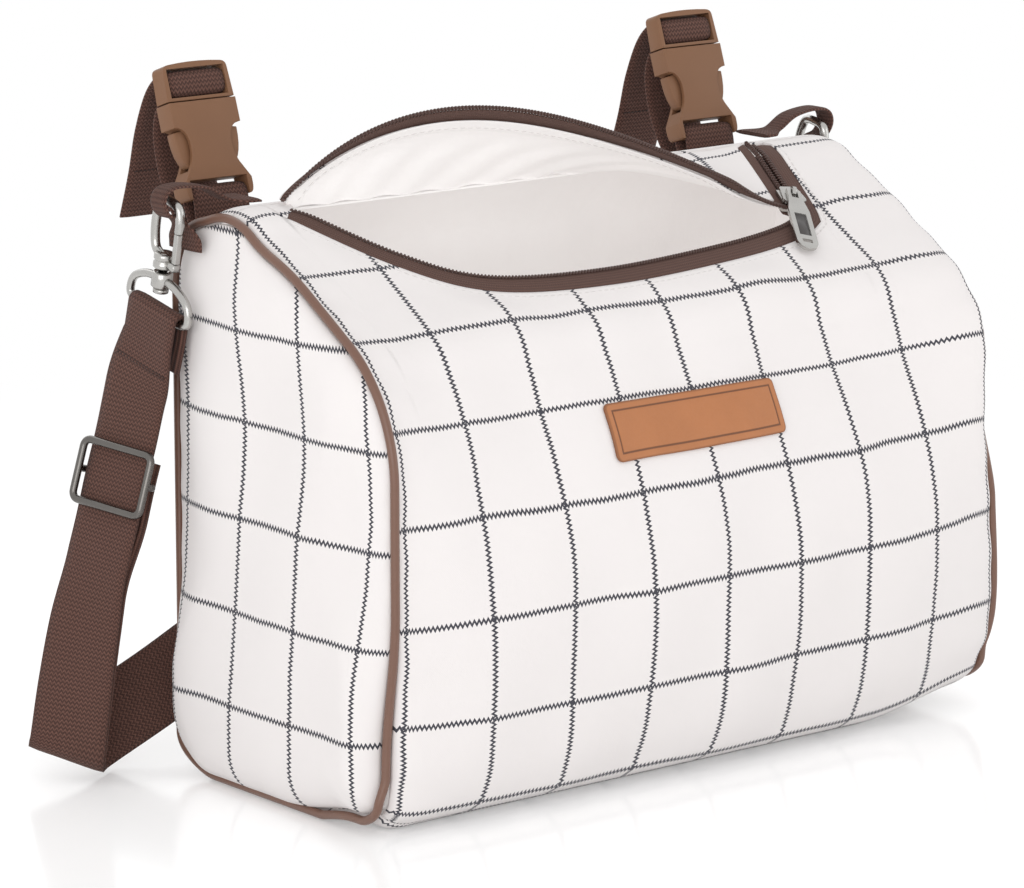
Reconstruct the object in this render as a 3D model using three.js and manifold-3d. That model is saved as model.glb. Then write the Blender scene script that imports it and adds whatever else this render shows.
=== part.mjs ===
// A soft peg bag: a boxy fabric bag with a sloping zip lid, two buckle straps that close round a line,
// and a shoulder strap on snap hooks. Millimetres, +X along the length, the front at -Y, +Z up.
// The origin is the middle of the base, on the surface that the bag stands on.
import * as THREE from "three";
import { mergeVertices } from "three/addons/utils/BufferGeometryUtils.js";
import Module from "manifold-3d";

const wasm = await Module();
wasm.setup();
const { degToRad, lerp, smoothstep } = THREE.MathUtils;

// Bag body
const LENGTH = 296; // between the two end seams
const DEPTH = 131; // front plane to back plane
const SHOULDER_Z = 162; // where the front plane would meet the sloping top
const SLOPE = degToRad(31.7); // rise of the top towards the ridge
const FRONT_FOOT_R = 12;
const SHOULDER_R = 56;
const RIDGE_R = 31;
const BACK_FOOT_R = 24;
const FRONT_SWELL = 7; // how far the stuffed panels stand out of their seams
const BACK_SWELL = 4;
const END_SWELL = 7;
const FABRIC = 1.4; // face fabric with its foam backing
const LINING = 0.8;
const PIPING_R = 1.9;
const GAP = 0.3; // clearance between neighbouring pieces

// Label patch
const LABEL_WIDTH = 86;
const LABEL_HEIGHT = 22;
const LABEL_THICKNESS = 1.2;
const LABEL_CORNER_R = 2.5;
const LABEL_X = -8;
const LABEL_Z = 137;

// Zip: its line in plan runs from the left end along the front lip to the right leg and the ridge
const MOUTH_LEFT = 124; // left end of the zip, from the middle of the bag
const MOUTH_RIGHT = 96.5; // start of the closed right leg
const MOUTH_DEPTH = 54; // front lip to the ridge
const LIP_BEND = 28; // from the zip's left end to where the lip turns to the front
const LIP_FLAT = 58; // and to where it runs along the front
const LEG_DEPTH = 41; // start of the closed leg to the ridge
const LEG_SPREAD = degToRad(13); // the closed leg spreads outwards on its way to the ridge
const TAPE_WIDTH = 7;
const TAPE_THICKNESS = 0.9;
const COIL_WIDTH = 2.4;
const COIL_HEIGHT = 1.8;
const COIL_SPLIT = 1.2; // between the two coils of the closed leg
const LID_RISE = 41; // how high the open lid's edge arches over the line of its ends
const LID_LEAN = 12; // how far the arch leans to the front
const LID_PEAK = 0.33; // share of the open edge at which the arch peaks
const LID_SWELL = 4; // how far the lid bends out between the ridge and its edge
const LEG_SWELL = 1.5; // the same along the closed leg

// Zip slider and pull
const SLIDER_LENGTH = 9;
const SLIDER_START = 2; // from the start of the closed leg
const SLIDER_WIDTH = 10.5;
const SLIDER_PLATE = 1.2;
const PULL_LENGTH = 36;
const PULL_WIDTH = 9;
const PULL_THICKNESS = 1.6;
const PULL_TURN = degToRad(-15); // the pull hangs aslant to the slider
const PULL_DROOP = degToRad(1); // and dips towards the fabric
const PULL_BAR_R = 0.8;
const BRIDGE_WIDTH = 1.6; // of the slider's arch over the pull's bar
const BRIDGE_THICKNESS = 1;

// Hanging straps and their side-release buckles
const HANGER_FROM_END = 26; // middle of each strap, from the end seam
const WEBBING_WIDTH = 25;
const WEBBING = 1.5; // webbing thickness
const BUCKLE_TILT = degToRad(19); // the buckle leans back from the vertical
const BUCKLE_BEHIND = 13; // the socket's strap bar, from the back plane
const BUCKLE_BELOW = 2.5; // and under the ridge
const BUCKLE_WIDTH = 30.5;
const BUCKLE_THICKNESS = 9;
const BUCKLE_WALL = 1.7; // of the socket's front and back
const BUCKLE_SIDE = 3.2; // of the socket's sides
const SOCKET_LENGTH = 35.5; // strap bar to mouth
const NOTCH_DEPTH = 6; // the socket's cut-outs, which show the thumb pads
const NOTCH_LOW = 4.5; // their ends, from the strap bar
const NOTCH_HIGH = 26;
const PLUG_LENGTH = 14.6;
const PLUG_SILL = 1.2; // the plug's lower edge, under its webbing
const STRAP_BAR = 3.2; // thickness of the bars that carry webbing
const SLOT = 4; // width of the webbing slots
const PATCH_LENGTH = 36; // the straps are sewn to the back panel over this length
const LINE_ROOM = 11; // behind the buckle, for the line
const TAIL_REACH = 47; // the tail's end, behind the buckle
const TAIL_RISE = 2; // and above the socket's strap bar

// Corner tabs and snap hooks
const TAB_FROM_BACK = 12.5; // its middle, from the back plane
const TAB_WIDTH = 20;
const TAB_HOOK_WIDTH = 7.5;
const TAB_REACH = 12.2; // how far the hook sits outside the end seam
const TAB_ROOM = 3; // inside its loop, round the wire
const TAB_RISE = 8; // how high the hook's wire sits over the ridge there
const HOOK_WIRE_R = 1.8;
const HOOK_WIDTH = 18;
const HOOK_HEIGHT = 24;
const HOOK_LEAN = degToRad(12);
const BARREL_R = 4; // the hook's barrel and the eye's collar
const STEM_R = 1.7;
const STEM_LENGTH = 9;
const EYE_WIRE_R = 1.6;
const EYE_HEIGHT = 13;

// Shoulder strap and its slide adjuster
const STRAP_WIDTH = 30;
const GLIDE_HEIGHT = 26;
const GLIDE_SHARE = 0.65; // its height, as a share of the strap eye's
const GLIDE_WIRE_R = 1.5;

// Colours
const CREAM = 0xf1ece6;
const GREY_LINING = 0xd8d5d0;
const DARK_BROWN = 0x4b302a;
const PIPING_BROWN = 0x7d5a48;
const BUCKLE_BROWN = 0x86634a;
const TAN = 0xb86a36;
const STEEL = 0xb9b6b0;

const root = new THREE.Group();
const at = (x, y, z) => new THREE.Vector3(x, y, z);
const steps = (count) => Array.from({ length: count + 1 }, (_, i) => i / count);

// A named mesh in its own material, added to a group.
function piece(group, name, geometry, color, roughness, metalness = 0) {
  const mesh = new THREE.Mesh(geometry, new THREE.MeshStandardMaterial({ color, roughness, metalness }));
  mesh.name = name;
  group.add(mesh);
}

// A closed skin whose faces point outwards: the sign of the enclosed volume tells if they have to be turned.
function facingOut(positions, index) {
  const corner = (i) => new THREE.Vector3().fromArray(positions, 3 * i);
  let volume = 0;
  for (let i = 0; i < index.length; i += 3) {
    volume += corner(index[i]).dot(corner(index[i + 1]).cross(corner(index[i + 2])));
  }
  const turned = volume < 0 ? index.slice().reverse() : index;
  const geometry = new THREE.BufferGeometry();
  geometry.setAttribute("position", new THREE.Float32BufferAttribute(positions, 3));
  geometry.setIndex(turned);
  return geometry;
}

// A thick sheet: two grids of points, one on each face, closed by a rim.
function sheet(us, vs, outer, inner) {
  const grid = (face) => us.flatMap((u) => vs.flatMap((v) => face(u, v).toArray()));
  const positions = [...grid(outer), ...grid(inner)];
  const index = [];
  const quad = (a, b, c, d) => index.push(a, b, c, a, c, d);
  const rows = us.length;
  const columns = vs.length;
  const point = (face, i, j) => (face * rows + i) * columns + j;
  for (let i = 0; i + 1 < rows; i++) {
    for (let j = 0; j + 1 < columns; j++) {
      quad(point(0, i, j), point(0, i + 1, j), point(0, i + 1, j + 1), point(0, i, j + 1));
      quad(point(1, i, j), point(1, i, j + 1), point(1, i + 1, j + 1), point(1, i + 1, j));
    }
    const last = columns - 1;
    quad(point(0, i, 0), point(1, i, 0), point(1, i + 1, 0), point(0, i + 1, 0));
    quad(point(0, i, last), point(0, i + 1, last), point(1, i + 1, last), point(1, i, last));
  }
  for (let j = 0; j + 1 < columns; j++) {
    const last = rows - 1;
    quad(point(0, 0, j), point(0, 0, j + 1), point(1, 0, j + 1), point(1, 0, j));
    quad(point(0, last, j), point(1, last, j), point(1, last, j + 1), point(0, last, j + 1));
  }
  return facingOut(positions, index);
}

// A skin over rings of equally many points: a closed loop, or an open run with flat ends.
function loft(rings, closed) {
  const count = rings[0].length;
  const positions = rings.flatMap((ring) => ring.flatMap((p) => p.toArray()));
  const index = [];
  const spans = closed ? rings.length : rings.length - 1;
  for (let i = 0; i < spans; i++) {
    const next = (i + 1) % rings.length;
    for (let j = 0; j < count; j++) {
      const side = (j + 1) % count;
      const [a, b] = [i * count + j, i * count + side];
      const [c, d] = [next * count + side, next * count + j];
      index.push(a, b, c, a, c, d);
    }
  }
  if (!closed) {
    const end = (rings.length - 1) * count;
    for (let j = 1; j + 1 < count; j++) {
      index.push(0, j + 1, j, end, end + j, end + j + 1);
    }
  }
  return facingOut(positions, index);
}

// Webbing along frames of place, width direction and face direction.
function ribbon(frames, halfWidth, thickness) {
  const rings = frames.map(({ place, across, face }, i) => {
    const half = halfWidth(i / (frames.length - 1));
    const corner = (w, n) => {
      const edge = place.clone().addScaledVector(across, w * half);
      return edge.addScaledVector(face, (n * thickness) / 2);
    };
    return [corner(-1, -1), corner(1, -1), corner(1, 1), corner(-1, 1)];
  });
  return loft(rings, false);
}

// Frames along a smooth curve through points, with the width direction carried from point to point.
function strapFrames(points, acrossAt, count) {
  const curve = new THREE.CatmullRomCurve3(points, false, "centripetal");
  const turn = new THREE.CatmullRomCurve3(acrossAt, false, "centripetal");
  return steps(count).map((share) => {
    const t = curve.getUtoTmapping(share);
    const along = curve.getTangent(t);
    const across = turn.getPoint(t);
    across.addScaledVector(along, -across.dot(along)).normalize();
    return { place: curve.getPoint(t), along, across, face: along.clone().cross(across).normalize() };
  });
}

// A round bar along a smooth curve through points.
function rod(points, radius, count) {
  const curve = new THREE.CatmullRomCurve3(points, false, "centripetal");
  const section = new THREE.Shape().absarc(0, 0, radius, 0, 2 * Math.PI);
  return new THREE.ExtrudeGeometry(section, { steps: count, curveSegments: 4, extrudePath: curve });
}

// An upright cylinder between two heights.
function drum(radius, low, high) {
  const upright = new THREE.CylinderGeometry(radius, radius, high - low, 12).rotateX(Math.PI / 2);
  return upright.translate(0, 0, (low + high) / 2);
}

// A flat outline with thickness, centred on its own plane.
function plate(shape, thickness, curveSegments = 6) {
  const options = { depth: thickness, bevelEnabled: false, curveSegments };
  return new THREE.ExtrudeGeometry(shape, options).translate(0, 0, -thickness / 2);
}

// A box between two corners.
function block(low, high) {
  const size = high.clone().sub(low);
  const middle = low.clone().add(high).multiplyScalar(0.5);
  return new THREE.BoxGeometry(...size.toArray()).translate(...middle.toArray());
}

function solid(geometry) {
  const flat = geometry.index ? geometry.toNonIndexed() : geometry;
  const bare = new THREE.BufferGeometry().setAttribute("position", flat.getAttribute("position"));
  const merged = mergeVertices(bare, 1e-4);
  const vertProperties = merged.attributes.position.array;
  const triVerts = new Uint32Array(merged.index.array);
  return new wasm.Manifold(new wasm.Mesh({ numProp: 3, vertProperties, triVerts }));
}

function shapeOf(made) {
  const mesh = made.getMesh();
  const geometry = new THREE.BufferGeometry();
  geometry.setAttribute("position", new THREE.BufferAttribute(mesh.vertProperties, 3));
  return geometry.setIndex(new THREE.BufferAttribute(mesh.triVerts, 1));
}

function cut(body, ...tools) {
  return shapeOf(tools.reduce((left, tool) => left.subtract(solid(tool)), solid(body)));
}

function join(body, ...others) {
  return shapeOf(others.reduce((whole, other) => whole.add(solid(other)), solid(body)));
}

// Section of the bag across its length: arcs given by centre and radius, with the outward angle as parameter
const SHOULDER_TURN = Math.PI / 2 - SLOPE;
const RIDGE_TURN = Math.PI / 2 + SLOPE;
const shoulder = { y: -DEPTH / 2 + SHOULDER_R, z: SHOULDER_Z - SHOULDER_R * Math.tan(SHOULDER_TURN / 2) };
const ridgeCornerZ = SHOULDER_Z + DEPTH * Math.tan(SLOPE);
const ridge = { y: DEPTH / 2 - RIDGE_R, z: ridgeCornerZ - RIDGE_R * Math.tan(RIDGE_TURN / 2) };
const frontFoot = { y: -DEPTH / 2 + FRONT_FOOT_R, z: FRONT_FOOT_R };
const backFoot = { y: DEPTH / 2 - BACK_FOOT_R, z: BACK_FOOT_R };
const HEIGHT = ridge.z + RIDGE_R;
const BUCKLE_Y = DEPTH / 2 + BUCKLE_BEHIND;
const BUCKLE_Z = HEIGHT - BUCKLE_BELOW;
const HANGER_X = LENGTH / 2 - HANGER_FROM_END;
const PATCH_HIGH_Z = ridge.z - 2;
const PATCH_LOW_Z = PATCH_HIGH_Z - PATCH_LENGTH;
const TAB_Y = DEPTH / 2 - TAB_FROM_BACK;
const SLOPE_ANGLE = Math.PI / 2 + SLOPE; // outward angle of the sloping top

function arc(centre, radius, from, to, count) {
  return steps(count).map((t) => {
    const angle = lerp(from, to, t);
    const [ny, nz] = [Math.cos(angle), Math.sin(angle)];
    return { y: centre.y + radius * ny, z: centre.z + radius * nz, ny, nz };
  });
}

// Arcs joined by straight runs, each run split into equal steps.
function chain(arcs, runSteps) {
  return arcs.flatMap((points, k) => {
    const next = arcs[k + 1];
    if (!next) return points;
    const [a, b] = [points[points.length - 1], next[0]];
    const between = steps(runSteps).slice(1, -1);
    const run = between.map((t) => ({ ...a, y: lerp(a.y, b.y, t), z: lerp(a.z, b.z, t) }));
    return [...points, ...run];
  });
}

const QUARTER = Math.PI / 4;
const seamAngle = (radius) => GAP / 2 / radius; // half a seam gap, as an angle on an arc
const frontSection = chain(
  [
    arc(frontFoot, FRONT_FOOT_R, 5 * QUARTER - seamAngle(FRONT_FOOT_R), Math.PI, 2),
    arc(shoulder, SHOULDER_R, Math.PI, SLOPE_ANGLE, 5),
    arc(ridge, RIDGE_R, SLOPE_ANGLE, Math.PI / 2 + seamAngle(RIDGE_R), 3),
  ],
  5,
);
const backSection = chain(
  [
    arc(ridge, RIDGE_R, Math.PI / 2 - seamAngle(RIDGE_R), 0, 8),
    arc(backFoot, BACK_FOOT_R, 0, -QUARTER + seamAngle(BACK_FOOT_R), 2),
  ],
  5,
);
const baseSection = chain(
  [
    arc(backFoot, BACK_FOOT_R, -QUARTER - seamAngle(BACK_FOOT_R), -2 * QUARTER, 2),
    arc(frontFoot, FRONT_FOOT_R, 6 * QUARTER, 5 * QUARTER + seamAngle(FRONT_FOOT_R), 2),
  ],
  4,
);
const endSection = chain(
  [
    arc(frontFoot, FRONT_FOOT_R, 6 * QUARTER, Math.PI, 4),
    arc(shoulder, SHOULDER_R, Math.PI, SLOPE_ANGLE, 5),
    arc(ridge, RIDGE_R, SLOPE_ANGLE, 0, 8),
    arc(backFoot, BACK_FOOT_R, 0, -2 * QUARTER, 4),
  ],
  4,
);

// Height of the top's outer face at a place across the bag, from the shoulder to the back plane.
function topZ(y) {
  const slopeStart = shoulder.y + SHOULDER_R * Math.cos(SLOPE_ANGLE);
  const slopeEnd = ridge.y + RIDGE_R * Math.cos(SLOPE_ANGLE);
  if (y < slopeStart) return shoulder.z + Math.sqrt(SHOULDER_R ** 2 - (y - shoulder.y) ** 2);
  if (y > slopeEnd) return ridge.z + Math.sqrt(RIDGE_R ** 2 - (y - ridge.y) ** 2);
  return SHOULDER_Z + (y + DEPTH / 2) * Math.tan(SLOPE);
}

// A stuffed panel stands out most in its middle and not at its seams.
const crown = (share) => Math.max(0, 1 - Math.abs(share) ** 4);
const slopeFootZ = topZ(shoulder.y + SHOULDER_R * Math.cos(SLOPE_ANGLE));
const frontSwell = (x, z) => FRONT_SWELL * crown((2 * x) / LENGTH) * crown((2 * z) / slopeFootZ - 1);
const backSwell = (x, z) => BACK_SWELL * crown((2 * x) / LENGTH) * crown((2 * z) / ridge.z - 1);
const endSwell = (y, z) => END_SWELL * crown((2 * y) / DEPTH) * crown((2 * z) / HEIGHT - 1);

// A panel of the wrap: its section carried along the length between the end seams.
const WRAP_HALF = LENGTH / 2 - 5 * GAP;
function wrapPanel(section, swell, lengthSteps) {
  const face = (inset) => (t, k) => {
    const { y, z, ny, nz } = section[k];
    const x = lerp(-WRAP_HALF, WRAP_HALF, t);
    const out = swell(x, z) - inset;
    return at(x, y + ny * out, z + nz * out);
  };
  return sheet(steps(lengthSteps), section.map((_, k) => k), face(0), face(FABRIC));
}

// Zip line in plan: the open lip, then the closed leg
const fullTape = COIL_SPLIT / 2 + COIL_WIDTH + TAPE_WIDTH; // from the zip line to the tape's far edge
const MOUTH_FRONT_Y = ridge.y - MOUTH_DEPTH;
const LEG_START_Y = ridge.y - LEG_DEPTH;
const legEndY = ridge.y - 2 * GAP - fullTape * Math.sin(LEG_SPREAD);
const legLength = (legEndY - LEG_START_Y) / Math.cos(LEG_SPREAD);
function legPoint(s) {
  return { x: MOUTH_RIGHT + s * Math.sin(LEG_SPREAD), y: LEG_START_Y + s * Math.cos(LEG_SPREAD) };
}
const mouthMiddle = (MOUTH_RIGHT - MOUTH_LEFT) / 2;
const mouthDepth = LEG_START_Y - MOUTH_FRONT_Y;
const LEFT_END_Y = ridge.y - 7;
const lipCurve = new THREE.SplineCurve([
  new THREE.Vector2(-MOUTH_LEFT, LEFT_END_Y),
  new THREE.Vector2(-MOUTH_LEFT + LIP_BEND, lerp(LEFT_END_Y, MOUTH_FRONT_Y, 0.58)),
  new THREE.Vector2(-MOUTH_LEFT + LIP_FLAT, MOUTH_FRONT_Y + 4),
  new THREE.Vector2(mouthMiddle, MOUTH_FRONT_Y),
  new THREE.Vector2(lerp(mouthMiddle, MOUTH_RIGHT, 0.55), MOUTH_FRONT_Y + 0.25 * mouthDepth),
  new THREE.Vector2(MOUTH_RIGHT - 15, MOUTH_FRONT_Y + 0.6 * mouthDepth),
  new THREE.Vector2(MOUTH_RIGHT, LEG_START_Y),
]);
const LIP_STEPS = 26;
const LEG_STEPS = 8;
const lipPoints = lipCurve.getSpacedPoints(LIP_STEPS);
const legPoints = steps(LEG_STEPS).slice(1).map((t) => legPoint(t * legLength));
const zipPlan = [...lipPoints, ...legPoints.map(({ x, y }) => new THREE.Vector2(x, y))];

// Unit direction in plan, square to the zip line and away from the lid.
function awayFromLid(k) {
  const before = zipPlan[Math.max(k - 1, 0)];
  const after = zipPlan[Math.min(k + 1, zipPlan.length - 1)];
  const along = after.clone().sub(before).normalize();
  return new THREE.Vector2(along.y, -along.x);
}

const zipStations = zipPlan.map((_, k) => k);
function besideZip(k, offset, drop) {
  const p = zipPlan[k].clone().addScaledVector(awayFromLid(k), offset);
  return at(p.x, p.y, topZ(p.y) - drop);
}

// A strip beside the zip line on the bag's side, between two offsets and two depths.
function zipStrip(from, to, top, bottom) {
  return sheet(
    zipStations,
    [from, to],
    (k, offset) => besideZip(k, offset, top),
    (k, offset) => besideZip(k, offset, bottom),
  );
}

// Lid: straight lines from the ridge to the open edge, which arches up between its two ends
const lidEnds = [zipPlan[0], zipPlan[LIP_STEPS]];
function lidEdge(k) {
  if (k >= LIP_STEPS) return besideZip(k, 0, FABRIC);
  const t = k / LIP_STEPS;
  const chord = lidEnds[0].clone().lerp(lidEnds[1], t);
  const settled = 1 - 0.6 * smoothstep(t, 0.85, 1); // the edge comes down flat before the slider
  const arch = settled * Math.sin(Math.PI * t ** (Math.log(0.5) / Math.log(LID_PEAK)));
  const base = lerp(topZ(lidEnds[0].y), topZ(lidEnds[1].y), t) - FABRIC;
  return at(chord.x, chord.y - LID_LEAN * arch, base + LID_RISE * arch);
}
const hingeLeft = -MOUTH_LEFT - 1;
const hingeRight = zipPlan[zipPlan.length - 1].x + 1;
const hingeY = ridge.y - FABRIC - GAP;
function lidFrame(k) {
  const last = zipPlan.length - 1;
  const edge = lidEdge(k);
  const hinge = at(lerp(hingeLeft, hingeRight, (k + 0.6) / (last + 1.2)), hingeY, HEIGHT - FABRIC);
  const back = hinge.clone().sub(edge);
  const span = back.length();
  back.normalize();
  const along = lidEdge(Math.min(k + 1, last)).sub(lidEdge(k < LIP_STEPS ? Math.max(k - 1, 0) : k));
  if (k === last) along.copy(edge).sub(lidEdge(k - 1));
  const up = along.cross(back).normalize();
  return { edge, back, span, up };
}
function onLid(k, offset, height) {
  const { edge, back, span, up } = lidFrame(k);
  const most = lerp(LID_SWELL, LEG_SWELL, smoothstep(k, LIP_STEPS - 8, LIP_STEPS));
  const swell = most * Math.sin((Math.PI * offset) / span);
  return edge.clone().addScaledVector(back, offset).addScaledVector(up, swell + height);
}

// The lid starts where it is wide enough for the coil and tape; the tape narrows with it.
const lidStations = zipStations.filter((k) => lidFrame(k).span > 3 * (COIL_SPLIT + COIL_WIDTH));
const tapeEnd = (k) => Math.min(fullTape, 0.6 * lidFrame(k).span);
function lidStrip(from, to, top, bottom) {
  const offset = (k, t) => lerp(from, to(k), t);
  return sheet(
    lidStations,
    [0, 1],
    (k, t) => onLid(k, offset(k, t), top),
    (k, t) => onLid(k, offset(k, t), bottom),
  );
}
function lidSheet(top, bottom) {
  const offset = (k, t) => lerp(tapeEnd(k) + GAP, lidFrame(k).span, t);
  return sheet(
    lidStations,
    steps(4),
    (k, t) => onLid(k, offset(k, t), top),
    (k, t) => onLid(k, offset(k, t), bottom),
  );
}

// The hole in the bag's top, seen from above: the zip line with its tape, closed behind the ridge.
function mouthPrism(margin) {
  const rim = zipStations.map((k) => zipPlan[k].clone().addScaledVector(awayFromLid(k), fullTape + margin));
  const [first, last] = [rim[0], rim[rim.length - 1]];
  const behind = ridge.y + 2;
  const outline = [new THREE.Vector2(first.x, behind), ...rim, new THREE.Vector2(last.x, behind)];
  const options = { depth: HEIGHT, bevelEnabled: false };
  return new THREE.ExtrudeGeometry(new THREE.Shape(outline), options).translate(0, 0, HEIGHT / 2);
}

function buildBody() {
  const front = cut(wrapPanel(frontSection, frontSwell, 12), mouthPrism(GAP));
  piece(root, "front_panel", front, CREAM, 0.9);
  piece(root, "back_panel", wrapPanel(backSection, backSwell, 10), CREAM, 0.9);
  piece(root, "base_panel", wrapPanel(baseSection, () => 0, 4), CREAM, 0.9);
  for (const [name, side] of [["left", -1], ["right", 1]]) {
    piece(root, `${name}_end_panel`, endPanel(side), CREAM, 0.9);
    piece(root, `${name}_piping`, piping(side), PIPING_BROWN, 0.7);
  }
  piece(root, "lining_sack", liningSack(), GREY_LINING, 0.85);
  piece(root, "label_patch", labelPatch(), TAN, 0.65);
}

// An end panel: rings that shrink from the seam to the middle, swelling outwards.
function endPanel(side) {
  const rim = 5 * GAP;
  const middle = { y: 0, z: HEIGHT * 0.45 };
  const seat = LENGTH / 2 + GAP;
  const face = (inset) => (t, k) => {
    const { y, z, ny, nz } = endSection[k];
    const [py, pz] = [lerp(y - ny * rim, middle.y, t), lerp(z - nz * rim, middle.z, t)];
    return at(side * (seat + endSwell(py, pz) - inset), py, pz);
  };
  const rings = [...steps(4).slice(0, -1), 0.94];
  const ring = (inset) => rings.map((t) => endSection.map((_, k) => face(inset)(t, k)));
  const outside = ring(0);
  const inside = ring(FABRIC).reverse();
  const crownPoint = (inset) => at(side * (seat + endSwell(middle.y, middle.z) - inset), middle.y, middle.z);
  return cap([...inside, ...outside], crownPoint(FABRIC), crownPoint(0));
}

// A skin over rings that closes on a point at each end.
function cap(rings, first, last) {
  const count = rings[0].length;
  const positions = [...rings.flat(), first, last].flatMap((p) => p.toArray());
  const index = [];
  const start = rings.length * count;
  const end = (rings.length - 1) * count;
  for (let j = 0; j < count; j++) {
    const side = (j + 1) % count;
    for (let i = 0; i + 1 < rings.length; i++) {
      const [a, b] = [i * count + j, i * count + side];
      const [c, d] = [b + count, a + count];
      index.push(a, b, c, a, c, d);
    }
    index.push(start, side, j, start + 1, end + j, end + side);
  }
  return facingOut(positions, index);
}

// Piping sits on the corner of the seam; along the base it moves outwards, so that it doesn't lie under it.
function piping(side) {
  const rings = endSection.map(({ y, z, ny, nz }) => {
    const low = 1 - smoothstep(z, 0, FRONT_FOOT_R);
    const aside = 1 - smoothstep(z, FRONT_FOOT_R, 2 * FRONT_FOOT_R);
    const out = lerp(0.8, -PIPING_R - GAP / 6, low);
    const x = LENGTH / 2 + lerp(0.8, PIPING_R + 5 * GAP, aside);
    const centre = at(side * x, y + ny * out, z + nz * out);
    return steps(7).map((t) => {
      const angle = (2 * Math.PI * t * 7) / 8;
      const [ox, on] = [PIPING_R * Math.cos(angle), PIPING_R * Math.sin(angle)];
      return centre.clone().add(at(ox, ny * on, nz * on));
    });
  });
  return loft(rings, true);
}

// The lining hangs just inside the panels, open at the mouth.
function liningSack() {
  const lengthwise = new THREE.Matrix4().makeBasis(at(0, 1, 0), at(0, 0, 1), at(1, 0, 0));
  const tunnel = (inset, half) => {
    const outline = endSection.map((p) => new THREE.Vector2(p.y - p.ny * inset, p.z - p.nz * inset));
    return plate(new THREE.Shape(outline), 2 * half).applyMatrix4(lengthwise);
  };
  const outside = FABRIC + 2 * GAP;
  const half = LENGTH / 2 - FABRIC;
  return cut(tunnel(outside, half), tunnel(outside + LINING, half - LINING), mouthPrism(GAP));
}

// A place on the front or the shoulder, at a height of its section, standing out of the seams' surface.
function onFront(x, z, out) {
  const nz = Math.max(0, z - shoulder.z) / SHOULDER_R;
  const ny = -Math.sqrt(1 - nz ** 2);
  const reach = frontSwell(x, z) + out;
  return at(x, shoulder.y + SHOULDER_R * ny + ny * reach, z + nz * reach);
}

// A leather patch that follows the swell of the front.
function labelPatch() {
  const face = (height) => (s, t) => {
    const x = LABEL_X + (s - 0.5) * (LABEL_WIDTH + 2);
    return onFront(x, LABEL_Z + (t - 0.5) * (LABEL_HEIGHT + 8), GAP + height);
  };
  const strip = sheet(steps(8), steps(3), face(LABEL_THICKNESS), face(0));
  const [w, h, r] = [LABEL_WIDTH / 2, LABEL_HEIGHT / 2, LABEL_CORNER_R];
  const outline = new THREE.Shape();
  outline.absarc(w - r, h - r, r, 0, Math.PI / 2);
  outline.absarc(-w + r, h - r, r, Math.PI / 2, Math.PI);
  outline.absarc(-w + r, -h + r, r, Math.PI, 1.5 * Math.PI);
  outline.absarc(w - r, -h + r, r, 1.5 * Math.PI, 2 * Math.PI);
  const frame = plate(outline, 2 * DEPTH, 3).rotateX(Math.PI / 2).translate(LABEL_X, 0, LABEL_Z);
  return shapeOf(solid(strip).intersect(solid(frame)));
}

function buildLidAndZip() {
  const coil = [COIL_SPLIT / 2, COIL_SPLIT / 2 + COIL_WIDTH];
  const tape = [coil[1] + GAP, fullTape];
  const coilTop = COIL_HEIGHT - FABRIC;
  piece(root, "front_zip_tape", zipStrip(...tape, FABRIC - TAPE_THICKNESS, FABRIC), DARK_BROWN, 0.85);
  piece(root, "front_zip_coil", zipStrip(...coil, -coilTop, FABRIC), DARK_BROWN, 0.6);
  piece(root, "lid_zip_tape", lidStrip(tape[0] + 2 * GAP, tapeEnd, TAPE_THICKNESS, 0), DARK_BROWN, 0.85);
  piece(root, "lid_zip_coil", lidStrip(coil[0], () => coil[1], COIL_HEIGHT, 0), DARK_BROWN, 0.6);
  piece(root, "lid_flap", lidSheet(FABRIC, 0), CREAM, 0.9);
  piece(root, "lid_lining", lidSheet(-GAP, -GAP - LINING), GREY_LINING, 0.85);
}

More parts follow.
